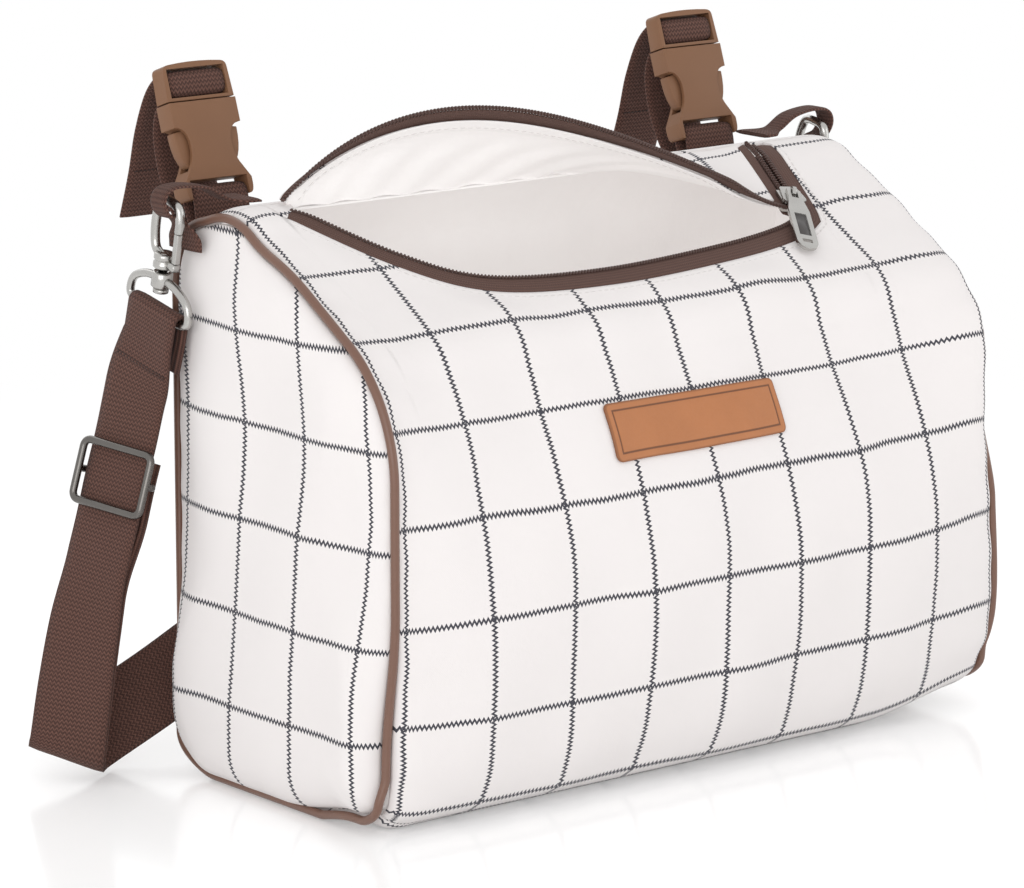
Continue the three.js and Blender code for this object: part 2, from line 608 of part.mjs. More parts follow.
// Slider: two plates round the closed leg, joined by a neck that runs between the coils, with a bridge
// on top that holds the pull's bar. Its group lies on the slope, with +Y towards the ridge.
function buildSlider() {
  const middle = legPoint((SLIDER_START + SLIDER_LENGTH / 2) * Math.cos(SLOPE));
  const group = new THREE.Group();
  const ahead = Math.cos(LEG_SPREAD);
  const along = at(Math.sin(LEG_SPREAD), ahead, ahead * Math.tan(SLOPE)).normalize();
  const up = at(0, -Math.sin(SLOPE), Math.cos(SLOPE));
  const across = along.clone().cross(up).normalize();
  group.matrixAutoUpdate = false;
  group.matrix.makeBasis(across, along, up).setPosition(middle.x, middle.y, topZ(middle.y));
  root.add(group);

  const half = SLIDER_LENGTH / 2;
  const wide = SLIDER_WIDTH / 2;
  const coilTop = COIL_HEIGHT - FABRIC + 2 * GAP;
  const plateTop = coilTop + SLIDER_PLATE;
  const coilLow = -FABRIC - 2 * GAP;
  const neck = COIL_SPLIT / 4;
  const inside = COIL_SPLIT / 2 + COIL_WIDTH + GAP;
  const top = plate(sliderOutline(half, wide), SLIDER_PLATE).translate(0, 0, coilTop + SLIDER_PLATE / 2);
  const low = plate(sliderOutline(half, wide), SLIDER_PLATE).translate(0, 0, coilLow - SLIDER_PLATE / 2);
  const stem = block(at(-neck, -half + 1, coilLow - 0.2), at(neck, half - 3, coilTop + 0.2));
  const flanges = [-1, 1].map((side) =>
    block(
      at(side > 0 ? inside + 0.2 : -wide, -half + 1, -FABRIC + TAPE_THICKNESS + GAP),
      at(side > 0 ? wide : -inside - 0.2, half - 1, coilTop + 0.2),
    ),
  );
  const bridge = bridgeArch(plateTop);
  piece(group, "zip_slider", join(top, low, stem, ...flanges, bridge), STEEL, 0.3, 1);

  const hung = new THREE.Group();
  hung.position.set(0, 0, plateTop + PULL_BAR_R + GAP);
  hung.rotation.set(PULL_DROOP, 0, PULL_TURN, "ZXY");
  group.add(hung);
  piece(hung, "zip_pull", pullTab(), STEEL, 0.3, 1);
}

function sliderOutline(half, wide) {
  const outline = new THREE.Shape();
  outline.moveTo(-wide, -half + 2);
  outline.quadraticCurveTo(-wide, -half, -wide + 2, -half);
  outline.lineTo(wide - 2, -half);
  outline.quadraticCurveTo(wide, -half, wide, -half + 2);
  outline.lineTo(wide - 1.2, half - 1);
  outline.quadraticCurveTo(wide - 1.4, half, wide - 2.4, half);
  outline.lineTo(-wide + 2.4, half);
  outline.quadraticCurveTo(-wide + 1.4, half, -wide + 1.2, half - 1);
  outline.closePath();
  return outline;
}

// A low arch over the pull's bar, turned with the pull.
function bridgeArch(plateTop) {
  const reach = PULL_BAR_R + GAP;
  const thick = BRIDGE_THICKNESS;
  const outline = new THREE.Shape();
  const foot = -0.3;
  outline.moveTo(-reach - thick, foot);
  outline.lineTo(-reach, foot);
  outline.lineTo(-reach, reach);
  outline.absarc(0, reach, reach, Math.PI, 0, true);
  outline.lineTo(reach, foot);
  outline.lineTo(reach + thick, foot);
  outline.lineTo(reach + thick, reach);
  outline.absarc(0, reach, reach + thick, 0, Math.PI);
  outline.closePath();
  const standing = new THREE.Matrix4().makeBasis(at(0, 1, 0), at(0, 0, 1), at(1, 0, 0));
  return plate(outline, BRIDGE_WIDTH, 8).applyMatrix4(standing).rotateZ(PULL_TURN).translate(0, 0, plateTop);
}

// Pull: a bar under the bridge, two arms and a tab with a sunk window, lying towards -Y.
function pullTab() {
  const half = PULL_WIDTH / 2;
  const arm = 1.5;
  const inner = BRIDGE_WIDTH / 2 + 2 * GAP;
  const shoulderY = -4.5;
  const outline = new THREE.Shape();
  outline.moveTo(-inner - arm, 0);
  outline.lineTo(-inner - arm, shoulderY);
  outline.lineTo(-half, shoulderY - 8);
  outline.lineTo(-half, -PULL_LENGTH + half);
  outline.absarc(0, -PULL_LENGTH + half, half, Math.PI, 2 * Math.PI);
  outline.lineTo(half, shoulderY - 8);
  outline.lineTo(inner + arm, shoulderY);
  outline.lineTo(inner + arm, 0);
  outline.lineTo(inner, 0);
  outline.lineTo(inner, shoulderY);
  outline.lineTo(-inner, shoulderY);
  outline.lineTo(-inner, 0);
  outline.closePath();
  const body = plate(outline, PULL_THICKNESS, 8);
  const bar = new THREE.CylinderGeometry(PULL_BAR_R, PULL_BAR_R, 2 * (inner + arm), 10).rotateZ(Math.PI / 2);
  const sunk = PULL_THICKNESS / 2 - 0.4;
  const window = block(at(-half + 2, -PULL_LENGTH + 8, sunk), at(half - 2, shoulderY - 10, PULL_THICKNESS));
  const eyeHalf = half - 2.4;
  const eyeLow = at(-eyeHalf, -PULL_LENGTH + 3.5, -PULL_THICKNESS);
  const eye = block(eyeLow, at(eyeHalf, eyeLow.y + 2, PULL_THICKNESS));
  return cut(join(body, bar), window, eye);
}

// Buckle parts are drawn flat: +X across, +Y up along the strap, +Z out of the face, from the socket's bar
const BAR_LOW = -STRAP_BAR / 2;
const BAR_HIGH = STRAP_BAR / 2;
const SLOT_HALF = WEBBING_WIDTH / 2 + 2 * GAP;
const PLUG_LOW = SOCKET_LENGTH + 2 * GAP;
const PLUG_BAR = PLUG_LOW + PLUG_SILL + SLOT + STRAP_BAR / 2; // middle of the plug's strap bar
const PLUG_HIGH = PLUG_LOW + PLUG_LENGTH;
const CAVITY = BUCKLE_THICKNESS / 2 - BUCKLE_WALL;
const HALF_BUCKLE = BUCKLE_WIDTH / 2;
const SOCKET_FLOOR = BAR_HIGH + SLOT + 1.4; // under the cavity

function socket() {
  const half = HALF_BUCKLE;
  const waist = half - NOTCH_DEPTH;
  const deepest = lerp(NOTCH_LOW, NOTCH_HIGH, 0.65);
  const outline = new THREE.Shape();
  outline.moveTo(-half + 2, BAR_LOW);
  outline.lineTo(half - 2, BAR_LOW);
  outline.quadraticCurveTo(half, BAR_LOW, half, BAR_HIGH + 1);
  outline.lineTo(half, NOTCH_LOW);
  outline.bezierCurveTo(half - 3, NOTCH_LOW + 5, waist, deepest - 6.5, waist, deepest);
  outline.bezierCurveTo(waist, deepest + 4.5, waist + 2, NOTCH_HIGH, half, NOTCH_HIGH);
  outline.lineTo(half, SOCKET_LENGTH);
  outline.lineTo(-half, SOCKET_LENGTH);
  outline.lineTo(-half, NOTCH_HIGH);
  outline.bezierCurveTo(-waist - 2, NOTCH_HIGH, -waist, deepest + 4.5, -waist, deepest);
  outline.bezierCurveTo(-waist, deepest - 6.5, -half + 3, NOTCH_LOW + 5, -half, NOTCH_LOW);
  outline.lineTo(-half, BAR_HIGH + 1);
  outline.quadraticCurveTo(-half, BAR_LOW, -half + 2, BAR_LOW);
  const deep = BUCKLE_THICKNESS;
  const slot = block(at(-SLOT_HALF, BAR_HIGH, -deep), at(SLOT_HALF, BAR_HIGH + SLOT, deep));
  const inside = half - BUCKLE_SIDE;
  const cavity = block(at(-inside, SOCKET_FLOOR, -CAVITY), at(inside, SOCKET_LENGTH + 1, CAVITY));
  return cut(plate(outline, deep, 6), slot, cavity, ...barRelief(0));
}

// What is cut away in front of and behind a strap bar, to leave it slim.
function barRelief(middle) {
  const face = STRAP_BAR / 2;
  const [low, high] = [middle - face - 0.1, middle + face + 0.1];
  const deep = BUCKLE_THICKNESS;
  return [
    block(at(-SLOT_HALF, low, face), at(SLOT_HALF, high, deep)),
    block(at(-SLOT_HALF, low, -deep), at(SLOT_HALF, high, -face)),
  ];
}

function plugFrame() {
  const half = HALF_BUCKLE;
  const outline = new THREE.Shape();
  outline.moveTo(-half, PLUG_LOW);
  outline.lineTo(half, PLUG_LOW);
  outline.lineTo(half - 0.6, PLUG_HIGH - 3);
  outline.quadraticCurveTo(half - 0.8, PLUG_HIGH - 0.8, half - 3.5, PLUG_HIGH - 0.6);
  outline.quadraticCurveTo(0, PLUG_HIGH + 0.6, -half + 3.5, PLUG_HIGH - 0.6); // a slightly arched top
  outline.quadraticCurveTo(-half + 0.8, PLUG_HIGH - 0.8, -half + 0.6, PLUG_HIGH - 3);
  outline.closePath();
  const deep = BUCKLE_THICKNESS;
  const opening = (low) => block(at(-SLOT_HALF, low, -deep), at(SLOT_HALF, low + SLOT, deep));
  const barFace = STRAP_BAR / 2;
  const frame = cut(
    plate(outline, BUCKLE_THICKNESS - 1.5, 5),
    opening(PLUG_BAR - barFace - SLOT),
    opening(PLUG_BAR + barFace),
    ...barRelief(PLUG_BAR),
  );
  const tongue = block(at(-2.2, SOCKET_FLOOR + 2, -1.5), at(2.2, PLUG_LOW + PLUG_SILL / 2, 1.5));
  return join(frame, tongue);
}

// A spring prong with its thumb pad in the socket's cut-out, hung from its root under the plug's frame.
const PRONG_ROOT_X = 8.6;
const PRONG_ROOT_Y = SOCKET_LENGTH - 1;
function prong(side) {
  const padLow = NOTCH_LOW + NOTCH_DEPTH;
  const padHigh = NOTCH_HIGH - 1.6;
  const padOut = HALF_BUCKLE - 2 * GAP;
  const outline = new THREE.Shape();
  outline.moveTo(side * (PRONG_ROOT_X - 2), PRONG_ROOT_Y + 1);
  outline.lineTo(side * (PRONG_ROOT_X - 1.6), padLow + 6);
  outline.quadraticCurveTo(side * (PRONG_ROOT_X - 1.4), padLow, side * (PRONG_ROOT_X + 1.5), padLow);
  const [padX, lowX] = [side * padOut, side * (padOut - 1.6)];
  outline.bezierCurveTo(lowX, padLow + 1.5, padX, padLow + 7, padX, padHigh);
  outline.lineTo(side * (PRONG_ROOT_X + 2), padHigh + 0.6);
  outline.lineTo(side * (PRONG_ROOT_X + 2), PRONG_ROOT_Y + 1);
  outline.closePath();
  return plate(outline, 2 * (CAVITY - 1.5 * GAP), 6);
}

// A place on the buckle's own plane, in the bag's frame: up the buckle and out of its face.
function onBuckle(up, out) {
  const [s, c] = [Math.sin(BUCKLE_TILT), Math.cos(BUCKLE_TILT)];
  return { y: BUCKLE_Y + up * s - out * c, z: BUCKLE_Z + up * c + out * s };
}

// Webbing in a plane across the bag, at one place along its length.
function crossRibbon(x, route, count) {
  const points = route.map(({ y, z }) => at(x, y, z));
  const across = route.map(() => at(1, 0, 0));
  return ribbon(strapFrames(points, across, count), () => WEBBING_WIDTH / 2, WEBBING);
}

function buildHanger(name, side) {
  const x = side * HANGER_X;
  const group = new THREE.Group();
  group.position.set(x, BUCKLE_Y, BUCKLE_Z);
  group.rotation.x = Math.PI / 2 - BUCKLE_TILT;
  root.add(group);
  piece(group, `${name}_buckle_socket`, socket(), BUCKLE_BROWN, 0.45);
  piece(group, `${name}_buckle_plug`, plugFrame(), BUCKLE_BROWN, 0.45);
  piece(group, `${name}_buckle_outer_prong`, prong(side), BUCKLE_BROWN, 0.45);
  piece(group, `${name}_buckle_inner_prong`, prong(-side), BUCKLE_BROWN, 0.45);

  const nearX = HANGER_X - WEBBING_WIDTH / 2; // the strap lies on the fuller part of the swell
  const onBack = (z, layer) => {
    const face = DEPTH / 2 + backSwell(nearX, z) + GAP + WEBBING / 2;
    return { y: face + layer * (WEBBING + GAP), z };
  };
  const patch = (layer) => [0, 0.5, 0.9].map((t) => onBack(lerp(PATCH_LOW_Z, PATCH_HIGH_Z, t), layer));
  const leaving = (layer, out, up) => {
    const { y, z } = onBack(PATCH_HIGH_Z, layer);
    return { y: y + out, z: z + up };
  };
  const lap = STRAP_BAR / 2 + GAP + WEBBING / 2; // webbing's middle, round a strap bar
  const wide = lap * 1.25; // the webbing turns round the bar with some slack
  const round = (angle) => onBuckle(wide * Math.sin(angle), wide * Math.cos(angle));
  const shortRoute = [
    ...patch(0),
    leaving(0, 0.5, 0),
    leaving(0, 2.2, 5),
    onBuckle(-12, -lap),
    ...[1, 0.75, 0.5, 0.25, 0].map((t) => round(Math.PI * t)),
    onBuckle(-7, lap),
    onBuckle(-12, lap - 1.2),
  ];
  piece(root, `${name}_short_strap`, crossRibbon(x, shortRoute, 46), DARK_BROWN, 0.9);

  const loop = BUCKLE_THICKNESS / 2 + LINE_ROOM;
  const inSlot = WEBBING / 2 + 1.5 * GAP; // webbing's middle, from the far edge of a slot
  const slotLow = PLUG_BAR - STRAP_BAR / 2 - SLOT + inSlot;
  const slotHigh = PLUG_BAR + STRAP_BAR / 2 + SLOT - inSlot;
  const standing = [
    ...patch(1.3),
    leaving(1.3, 0.8, 0),
    leaving(1.3, 3.6, 5),
    onBuckle(0, -loop + 2),
    onBuckle(16, -loop),
    onBuckle(slotLow - 8, -loop + 3),
    onBuckle(slotLow - 0.6, -5),
    onBuckle(slotLow, 0),
  ];
  const tail = [
    onBuckle(slotLow + 0.9, lap - 0.3),
    onBuckle(PLUG_BAR, lap + 0.4),
    onBuckle(slotHigh - 0.9, lap - 0.3),
    onBuckle(slotHigh, 0),
    onBuckle(slotHigh - 0.3, -5),
    onBuckle(slotHigh - 4, -13),
    onBuckle(slotHigh - 16, -25),
    onBuckle(TAIL_RISE + 15, 12 - TAIL_REACH),
    onBuckle(TAIL_RISE, -TAIL_REACH),
  ];
  piece(root, `${name}_hanging_strap`, crossRibbon(x, [...standing, ...tail], 64), DARK_BROWN, 0.9);
}

// Corner tab: a webbing loop sewn over the end seam, drawn together round the hook's wire
const HOOK_X = LENGTH / 2 + TAB_REACH;
const HOOK_Z = topZ(TAB_Y) + TAB_RISE;
function cornerTab(side) {
  const lap = HOOK_WIRE_R + TAB_ROOM + WEBBING / 2;
  const onTop = topZ(TAB_Y - TAB_WIDTH / 2) + GAP + WEBBING / 2;
  const sewnX = LENGTH / 2 + endSwell(TAB_Y - TAB_WIDTH / 2, HOOK_Z - 20) + GAP + FABRIC + WEBBING / 2;
  const route = [
    [LENGTH / 2 - 22, onTop],
    [LENGTH / 2 - 12, onTop + 0.8],
    [LENGTH / 2 - 2, lerp(onTop, HOOK_Z + lap, 0.6) + 1.5],
    [HOOK_X, HOOK_Z + lap],
    [HOOK_X + lap * 0.75, HOOK_Z + lap * 0.7],
    [HOOK_X + lap, HOOK_Z],
    [HOOK_X + lap * 0.6, HOOK_Z - lap * 0.8],
    [HOOK_X - 1.5, HOOK_Z - lap - 0.6],
    [sewnX + PIPING_R, HOOK_Z - lap - 4.5],
    [sewnX + 0.6, HOOK_Z - lap - 9],
    [sewnX + 0.4, HOOK_Z - lap - 13],
  ];
  const points = route.map(([x, z]) => at(side * x, TAB_Y, z));
  const across = route.map(() => at(0, 1, 0));
  const fromEnds = (t) => 0.5 - Math.abs(t - 0.5);
  const half = (t) => lerp(TAB_WIDTH, TAB_HOOK_WIDTH, smoothstep(fromEnds(t), 0.05, 0.17)) / 2;
  return ribbon(strapFrames(points, across, 40), half, WEBBING);
}

// Snap hook in its own frame: the wire's top at the origin, the stem below it, open side at -Y.
const BODY_LOW = -HOOK_HEIGHT;
function hookBody() {
  const half = HOOK_WIDTH / 2 - HOOK_WIRE_R;
  const noseZ = -HOOK_HEIGHT * 0.42;
  const wire = rod(
    [
      at(0, 0, BODY_LOW + 2),
      at(0, half * 0.75, BODY_LOW + 4),
      at(0, half, BODY_LOW + 9),
      at(0, half, -6),
      at(0, half * 0.7, -0.9),
      at(0, 0, 0),
      at(0, -half * 0.7, -0.9),
      at(0, -half, -6),
      at(0, -half, noseZ),
    ],
    HOOK_WIRE_R,
    26,
  );
  const barrel = drum(BARREL_R, BODY_LOW - 2, BODY_LOW + 4);
  const knuckle = block(at(-HOOK_WIRE_R, -half - 1, BODY_LOW - 1), at(HOOK_WIRE_R, 0, BODY_LOW + 1.6));
  const stem = drum(STEM_R, BODY_LOW - 2 - STEM_LENGTH, BODY_LOW - 1);
  const rivet = drum(STEM_R + 1.3, BODY_LOW - 3 - STEM_LENGTH, BODY_LOW - 1 - STEM_LENGTH);
  return join(wire, barrel, knuckle, stem, rivet);
}

// Spring gate: a bar from the knuckle to the hook's nose.
const GATE_FOOT_Z = BODY_LOW + 1.6 + GAP;
function hookGate() {
  const half = HOOK_WIDTH / 2 - HOOK_WIRE_R;
  const noseZ = -HOOK_HEIGHT * 0.42 - GAP;
  return block(at(-1.3, -half - 1.2, GATE_FOOT_Z), at(1.3, -half + 1.4, noseZ));
}

// Strap eye: a D of wire with a collar on top that turns on the hook's stem, its bar at the bottom.
const EYE_HALF = STRAP_WIDTH / 2 + GAP + 2 * EYE_WIRE_R;
const COLLAR_HEIGHT = STEM_LENGTH - 3;
function strapEye() {
  const corner = 2 * EYE_WIRE_R - GAP;
  const side = EYE_HEIGHT * 0.5;
  const path = new THREE.CatmullRomCurve3(
    [
      at(0, -EYE_HALF + corner, 0),
      at(0, 0, 0),
      at(0, EYE_HALF - corner, 0),
      at(0, EYE_HALF, corner * 0.6),
      at(0, EYE_HALF - 1, side + 1),
      at(0, EYE_HALF * 0.55, EYE_HEIGHT - 1.2),
      at(0, 0, EYE_HEIGHT),
      at(0, -EYE_HALF * 0.55, EYE_HEIGHT - 1.2),
      at(0, -EYE_HALF + 1, side + 1),
      at(0, -EYE_HALF, corner * 0.6),
    ],
    true,
    "centripetal",
  );
  const rings = steps(35).map((t) => {
    const centre = path.getPoint((t * 35) / 36);
    const along = path.getTangent((t * 35) / 36);
    const out = along.clone().cross(at(1, 0, 0)).normalize();
    return steps(7).map((s) => {
      const angle = (2 * Math.PI * s * 7) / 8;
      const aside = at(EYE_WIRE_R * Math.cos(angle), 0, 0);
      return centre.clone().add(aside).addScaledVector(out, EYE_WIRE_R * Math.sin(angle));
    });
  });
  const low = EYE_HEIGHT - COLLAR_HEIGHT / 2;
  const high = EYE_HEIGHT + COLLAR_HEIGHT / 2;
  const bore = drum(STEM_R + GAP, low - STEM_LENGTH, high + STEM_LENGTH);
  return cut(join(loft(rings, true), drum(BARREL_R, low, high)), bore);
}

// The eye hangs upright under the leaning hook, with its collar on the stem.
const STEM_MIDDLE = BODY_LOW - 2 - STEM_LENGTH / 2;
function buildHook(name, side) {
  piece(root, `${name}_tab`, cornerTab(side), DARK_BROWN, 0.9);
  const group = new THREE.Group();
  group.position.set(side * HOOK_X, TAB_Y, HOOK_Z);
  group.rotation.x = HOOK_LEAN;
  root.add(group);
  piece(group, `${name}_hook`, hookBody(), STEEL, 0.25, 1);
  piece(group, `${name}_hook_gate`, hookGate(), STEEL, 0.25, 1);
  const hung = new THREE.Group();
  hung.position.set(0, 0, STEM_MIDDLE - EYE_HEIGHT);
  group.add(hung);
  piece(hung, `${name}_strap_eye`, strapEye(), STEEL, 0.25, 1);
}

// Shoulder strap: it hangs from the left eye to the floor, bends there and rises behind the bag to the
// right eye
const EYE_BAR_Y = TAB_Y - (STEM_MIDDLE - EYE_HEIGHT) * Math.sin(HOOK_LEAN);
const EYE_BAR_Z = HOOK_Z + (STEM_MIDDLE - EYE_HEIGHT) * Math.cos(HOOK_LEAN);
const EYE_BAR = at(HOOK_X, EYE_BAR_Y, EYE_BAR_Z);
const EYE_TILT = at(0, -Math.cos(HOOK_LEAN), -Math.sin(HOOK_LEAN)); // along the eye's bar
const EYE_DOWN = at(0, Math.sin(HOOK_LEAN), -Math.cos(HOOK_LEAN)); // square to it, away from the hook
const SLANTED = at(0.25, -0.97, 0); // width direction at the slide

// A place beside an eye's bar, outwards and down from it.
function besideEye(side, out, down) {
  const place = EYE_BAR.clone().add(at(out, 0, 0)).addScaledVector(EYE_DOWN, down);
  return at(side * place.x, place.y, place.z);
}

// A stop of the hanging part: outwards from the hook, behind the back plane, at a share of the eye's height.
function hanging(out, behind, share, across) {
  return [at(-HOOK_X - out, DEPTH / 2 + behind, EYE_BAR_Z * share), across];
}

// A stop of the rising part: at a share of the way to the hook and of the eye's height.
function rising(share, behind, height, across) {
  return [at(HOOK_X * share, DEPTH / 2 + behind, EYE_BAR_Z * height), across];
}
const HANG = [
  [besideEye(-1, 3.4, 10), EYE_TILT],
  hanging(5.5, 4, 0.83, SLANTED),
  hanging(10, 4.6, 0.73, SLANTED),
  hanging(14.5, 5, 0.645, SLANTED),
  hanging(18.5, 5.4, 0.56, SLANTED),
  hanging(23, 6, 0.47, SLANTED),
  hanging(28.5, 7, 0.34, at(0.4, -0.91, -0.1)),
  hanging(33, 7.8, 0.2, at(0.5, -0.85, -0.18)),
];
const BEND = [
  { along: at(-0.15, 0.1, -0.98), across: at(0.55, -0.8, -0.22), length: 11 },
  { along: at(0.63, 0.78, 0), across: at(0.69, -0.65, -0.32), length: 20 },
  { along: at(0.82, -0.2, 0.44), across: at(0.42, -0.38, -0.82), length: 0 },
];
const BEND_START = at(-HOOK_X - 36, DEPTH / 2 + 8.5, 15);
const RISE = [
  rising(-0.93, 15.5, 0.165, at(0.38, -0.3, -0.87)),
  rising(-0.69, 20.5, 0.25, at(0.3, -0.1, -0.95)),
  rising(-0.31, 26.5, 0.35, at(0.28, 0, -0.96)),
  rising(0.125, 28.5, 0.45, at(0.25, 0, -0.97)),
  rising(0.565, 26.5, 0.55, at(0.3, 0.05, -0.95)),
  rising(0.83, 20.5, 0.64, at(0.4, -0.35, -0.8)),
  rising(0.975, 12.5, 0.76, at(0.2, -0.85, -0.45)),
  rising(1.022, 4.5, 0.87, EYE_TILT),
  [besideEye(1, 3.4, 10), EYE_TILT],
];

// The strap turns evenly from each heading of the bend to the next.
function bendStops() {
  const headings = BEND.map(({ along, across }) => {
    const ahead = along.clone().normalize();
    const side = across.clone().addScaledVector(ahead, -across.dot(ahead)).normalize();
    const basis = new THREE.Matrix4().makeBasis(ahead, side, ahead.clone().cross(side));
    return new THREE.Quaternion().setFromRotationMatrix(basis);
  });
  const place = BEND_START.clone();
  const stops = [[place.clone(), BEND[0].across]];
  for (let i = 0; i + 1 < BEND.length; i++) {
    const count = 5;
    const stride = BEND[i].length / count;
    for (let j = 0; j < count; j++) {
      const halfway = headings[i].clone().slerp(headings[i + 1], (j + 0.5) / count);
      const reached = headings[i].clone().slerp(headings[i + 1], (j + 1) / count);
      place.add(at(stride, 0, 0).applyQuaternion(halfway));
      stops.push([place.clone(), at(0, 1, 0).applyQuaternion(reached)]);
    }
  }
  return stops;
}

const LAYER = WEBBING + GAP; // from one layer of the doubled strap to the next
const GLIDE_BAR_BACK = WEBBING / 2 + GAP + GLIDE_WIRE_R; // the slide's bar behind the front layer

function buildShoulderStrap() {
  const route = [...HANG, ...bendStops(), ...RISE];
  const frames = strapFrames(route.map(([p]) => p), route.map(([, w]) => w), 132);
  const glideAt = frames.findIndex(({ place }) => place.z < EYE_BAR_Z * GLIDE_SHARE);
  const lap = EYE_WIRE_R + GAP + WEBBING / 2;
  const eyeTurn = (side, shares) =>
    shares.map((share) => {
      const angle = share * Math.PI;
      const place = besideEye(side, lap * 1.1 * Math.sin(angle), -lap * 1.1 * Math.cos(angle));
      return { place, across: EYE_TILT };
    });
  const foldEnd = [
    { place: besideEye(-1, -lap + 1.2, 20), across: EYE_TILT },
    { place: besideEye(-1, -lap, 8), across: EYE_TILT },
  ];
  const start = [...foldEnd, ...eyeTurn(-1, [-0.5, -0.3, -0.1, 0.1, 0.3, 0.45])];
  const under = { place: besideEye(1, -lap, 8), across: EYE_TILT };
  const finish = [...eyeTurn(1, [0.45, 0.3, 0.1, -0.1, -0.3, -0.5]), under];
  const home = frames.slice(glideAt - 2, frames.length - 5).map(({ place, across, face }, k) => {
    const atGlide = GLIDE_BAR_BACK + GLIDE_WIRE_R + GAP + WEBBING / 2;
    const back = lerp(atGlide, LAYER, smoothstep(k, 5, 12));
    return { place: place.clone().addScaledVector(face, -back), across };
  });
  const all = [...start, ...frames, ...finish, ...home.reverse()];
  const placed = all.map(({ place, across }, k) => {
    const before = all[Math.max(k - 1, 0)].place;
    const after = all[Math.min(k + 1, all.length - 1)].place;
    const along = after.clone().sub(before).normalize();
    const side = across.clone().addScaledVector(along, -across.dot(along)).normalize();
    return { place, across: side, face: along.cross(side) };
  });
  piece(root, "shoulder_strap", ribbon(placed, () => STRAP_WIDTH / 2, WEBBING), DARK_BROWN, 0.9);
  buildGlide(frames[glideAt]);
}

// Slide adjuster: a wire frame in front of the strap and a bar behind its front layer.
function buildGlide(frame) {
  const group = new THREE.Group();
  group.matrixAutoUpdate = false;
  group.matrix.makeBasis(frame.across, frame.along.clone().negate(), frame.face);
  group.matrix.setPosition(frame.place);
  root.add(group);
  const half = STRAP_WIDTH / 2 + GAP + GLIDE_WIRE_R;
  const tall = GLIDE_HEIGHT / 2 - GLIDE_WIRE_R;
  const front = WEBBING / 2 + GAP + GLIDE_WIRE_R;
  const r = GLIDE_WIRE_R;
  const bar = (y, z) => block(at(-half - r, y - r, z - r), at(half + r, y + r, z + r));
  const rail = (x) => block(at(x - r, -tall - r, front - r), at(x + r, tall + r, front + r));
  const post = (x) => block(at(x - r, -r, -GLIDE_BAR_BACK - r), at(x + r, r, front));
  const sides = [-half, half].flatMap((x) => [rail(x), post(x)]);
  const bars = [bar(-tall, front), bar(0, -GLIDE_BAR_BACK), ...sides];
  piece(group, "strap_slide", join(bar(tall, front), ...bars), STEEL, 0.3, 1);
}

buildBody();
buildLidAndZip();
buildSlider();
for (const [name, side] of [["left", -1], ["right", 1]]) {
  buildHanger(name, side);
  buildHook(name, side);
}
buildShoulderStrap();

export default root;
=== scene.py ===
"""Looks of a soft peg bag: checked cloth, zip, webbing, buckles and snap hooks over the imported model.

Sizes are in millimetres in the model's own frame: X along the length, the front at -Y, Z up, and the
origin at the middle of the base. Meshes are written in metres.
"""

from __future__ import annotations

import logging
import math
from dataclasses import dataclass, field
from enum import Enum
from functools import cached_property
from typing import Callable, Protocol, Sequence

import bmesh
import bpy
import numpy as np
from mathutils import Matrix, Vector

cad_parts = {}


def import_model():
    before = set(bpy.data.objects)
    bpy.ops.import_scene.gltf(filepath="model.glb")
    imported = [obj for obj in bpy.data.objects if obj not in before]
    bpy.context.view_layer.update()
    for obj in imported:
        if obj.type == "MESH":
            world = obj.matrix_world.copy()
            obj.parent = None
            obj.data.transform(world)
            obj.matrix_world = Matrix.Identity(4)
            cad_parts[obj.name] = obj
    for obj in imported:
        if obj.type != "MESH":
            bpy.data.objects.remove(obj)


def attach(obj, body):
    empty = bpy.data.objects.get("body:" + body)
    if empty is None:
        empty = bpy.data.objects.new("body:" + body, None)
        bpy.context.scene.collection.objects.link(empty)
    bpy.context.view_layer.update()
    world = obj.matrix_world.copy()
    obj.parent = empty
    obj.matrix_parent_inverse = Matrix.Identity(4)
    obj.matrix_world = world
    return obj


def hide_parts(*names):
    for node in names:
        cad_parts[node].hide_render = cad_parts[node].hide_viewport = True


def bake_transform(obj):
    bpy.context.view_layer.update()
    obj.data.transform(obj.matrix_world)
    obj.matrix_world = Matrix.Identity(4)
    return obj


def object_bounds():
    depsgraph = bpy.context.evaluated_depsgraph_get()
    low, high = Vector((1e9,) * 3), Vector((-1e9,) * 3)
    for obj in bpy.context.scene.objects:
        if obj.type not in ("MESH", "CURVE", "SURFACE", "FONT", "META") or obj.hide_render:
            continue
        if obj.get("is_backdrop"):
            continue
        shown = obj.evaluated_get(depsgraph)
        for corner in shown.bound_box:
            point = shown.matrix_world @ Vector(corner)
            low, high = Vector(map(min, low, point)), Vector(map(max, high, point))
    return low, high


Array = np.ndarray
Colour = tuple[float, float, float]
Material = bpy.types.Material
Socket = bpy.types.NodeSocket
METRE = 0.001
LOG = logging.getLogger("peg_bag")


class Slot(str, Enum):
    """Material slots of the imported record."""

    CLOTH = "cream_fabric"
    LINING = "lining_fabric"
    PIPING = "piping"
    LABEL = "label_leather"
    TAPE = "zip_fabric"
    COIL = "zip_coil"
    ZIP_METAL = "zip_metal"
    BUCKLE = "buckle_plastic"
    WEBBING = "webbing"
    HOOK = "hook_metal"
    SLIDE = "slide_metal"


class Side(Enum):
    """The two ends of the bag, with the sign of their X."""

    LEFT = ("left", -1)
    RIGHT = ("right", 1)

    @property
    def word(self) -> str:
        """Name of the end, as in the model's node names."""
        return self.value[0]

    @property
    def sign(self) -> int:
        """Sign of X at this end."""
        return self.value[1]


# Sums on arrays


def unit(vectors: Array) -> Array:
    """Vectors of length one, along the last axis."""
    return vectors / np.maximum(np.linalg.norm(vectors, axis=-1, keepdims=True), 1e-12)


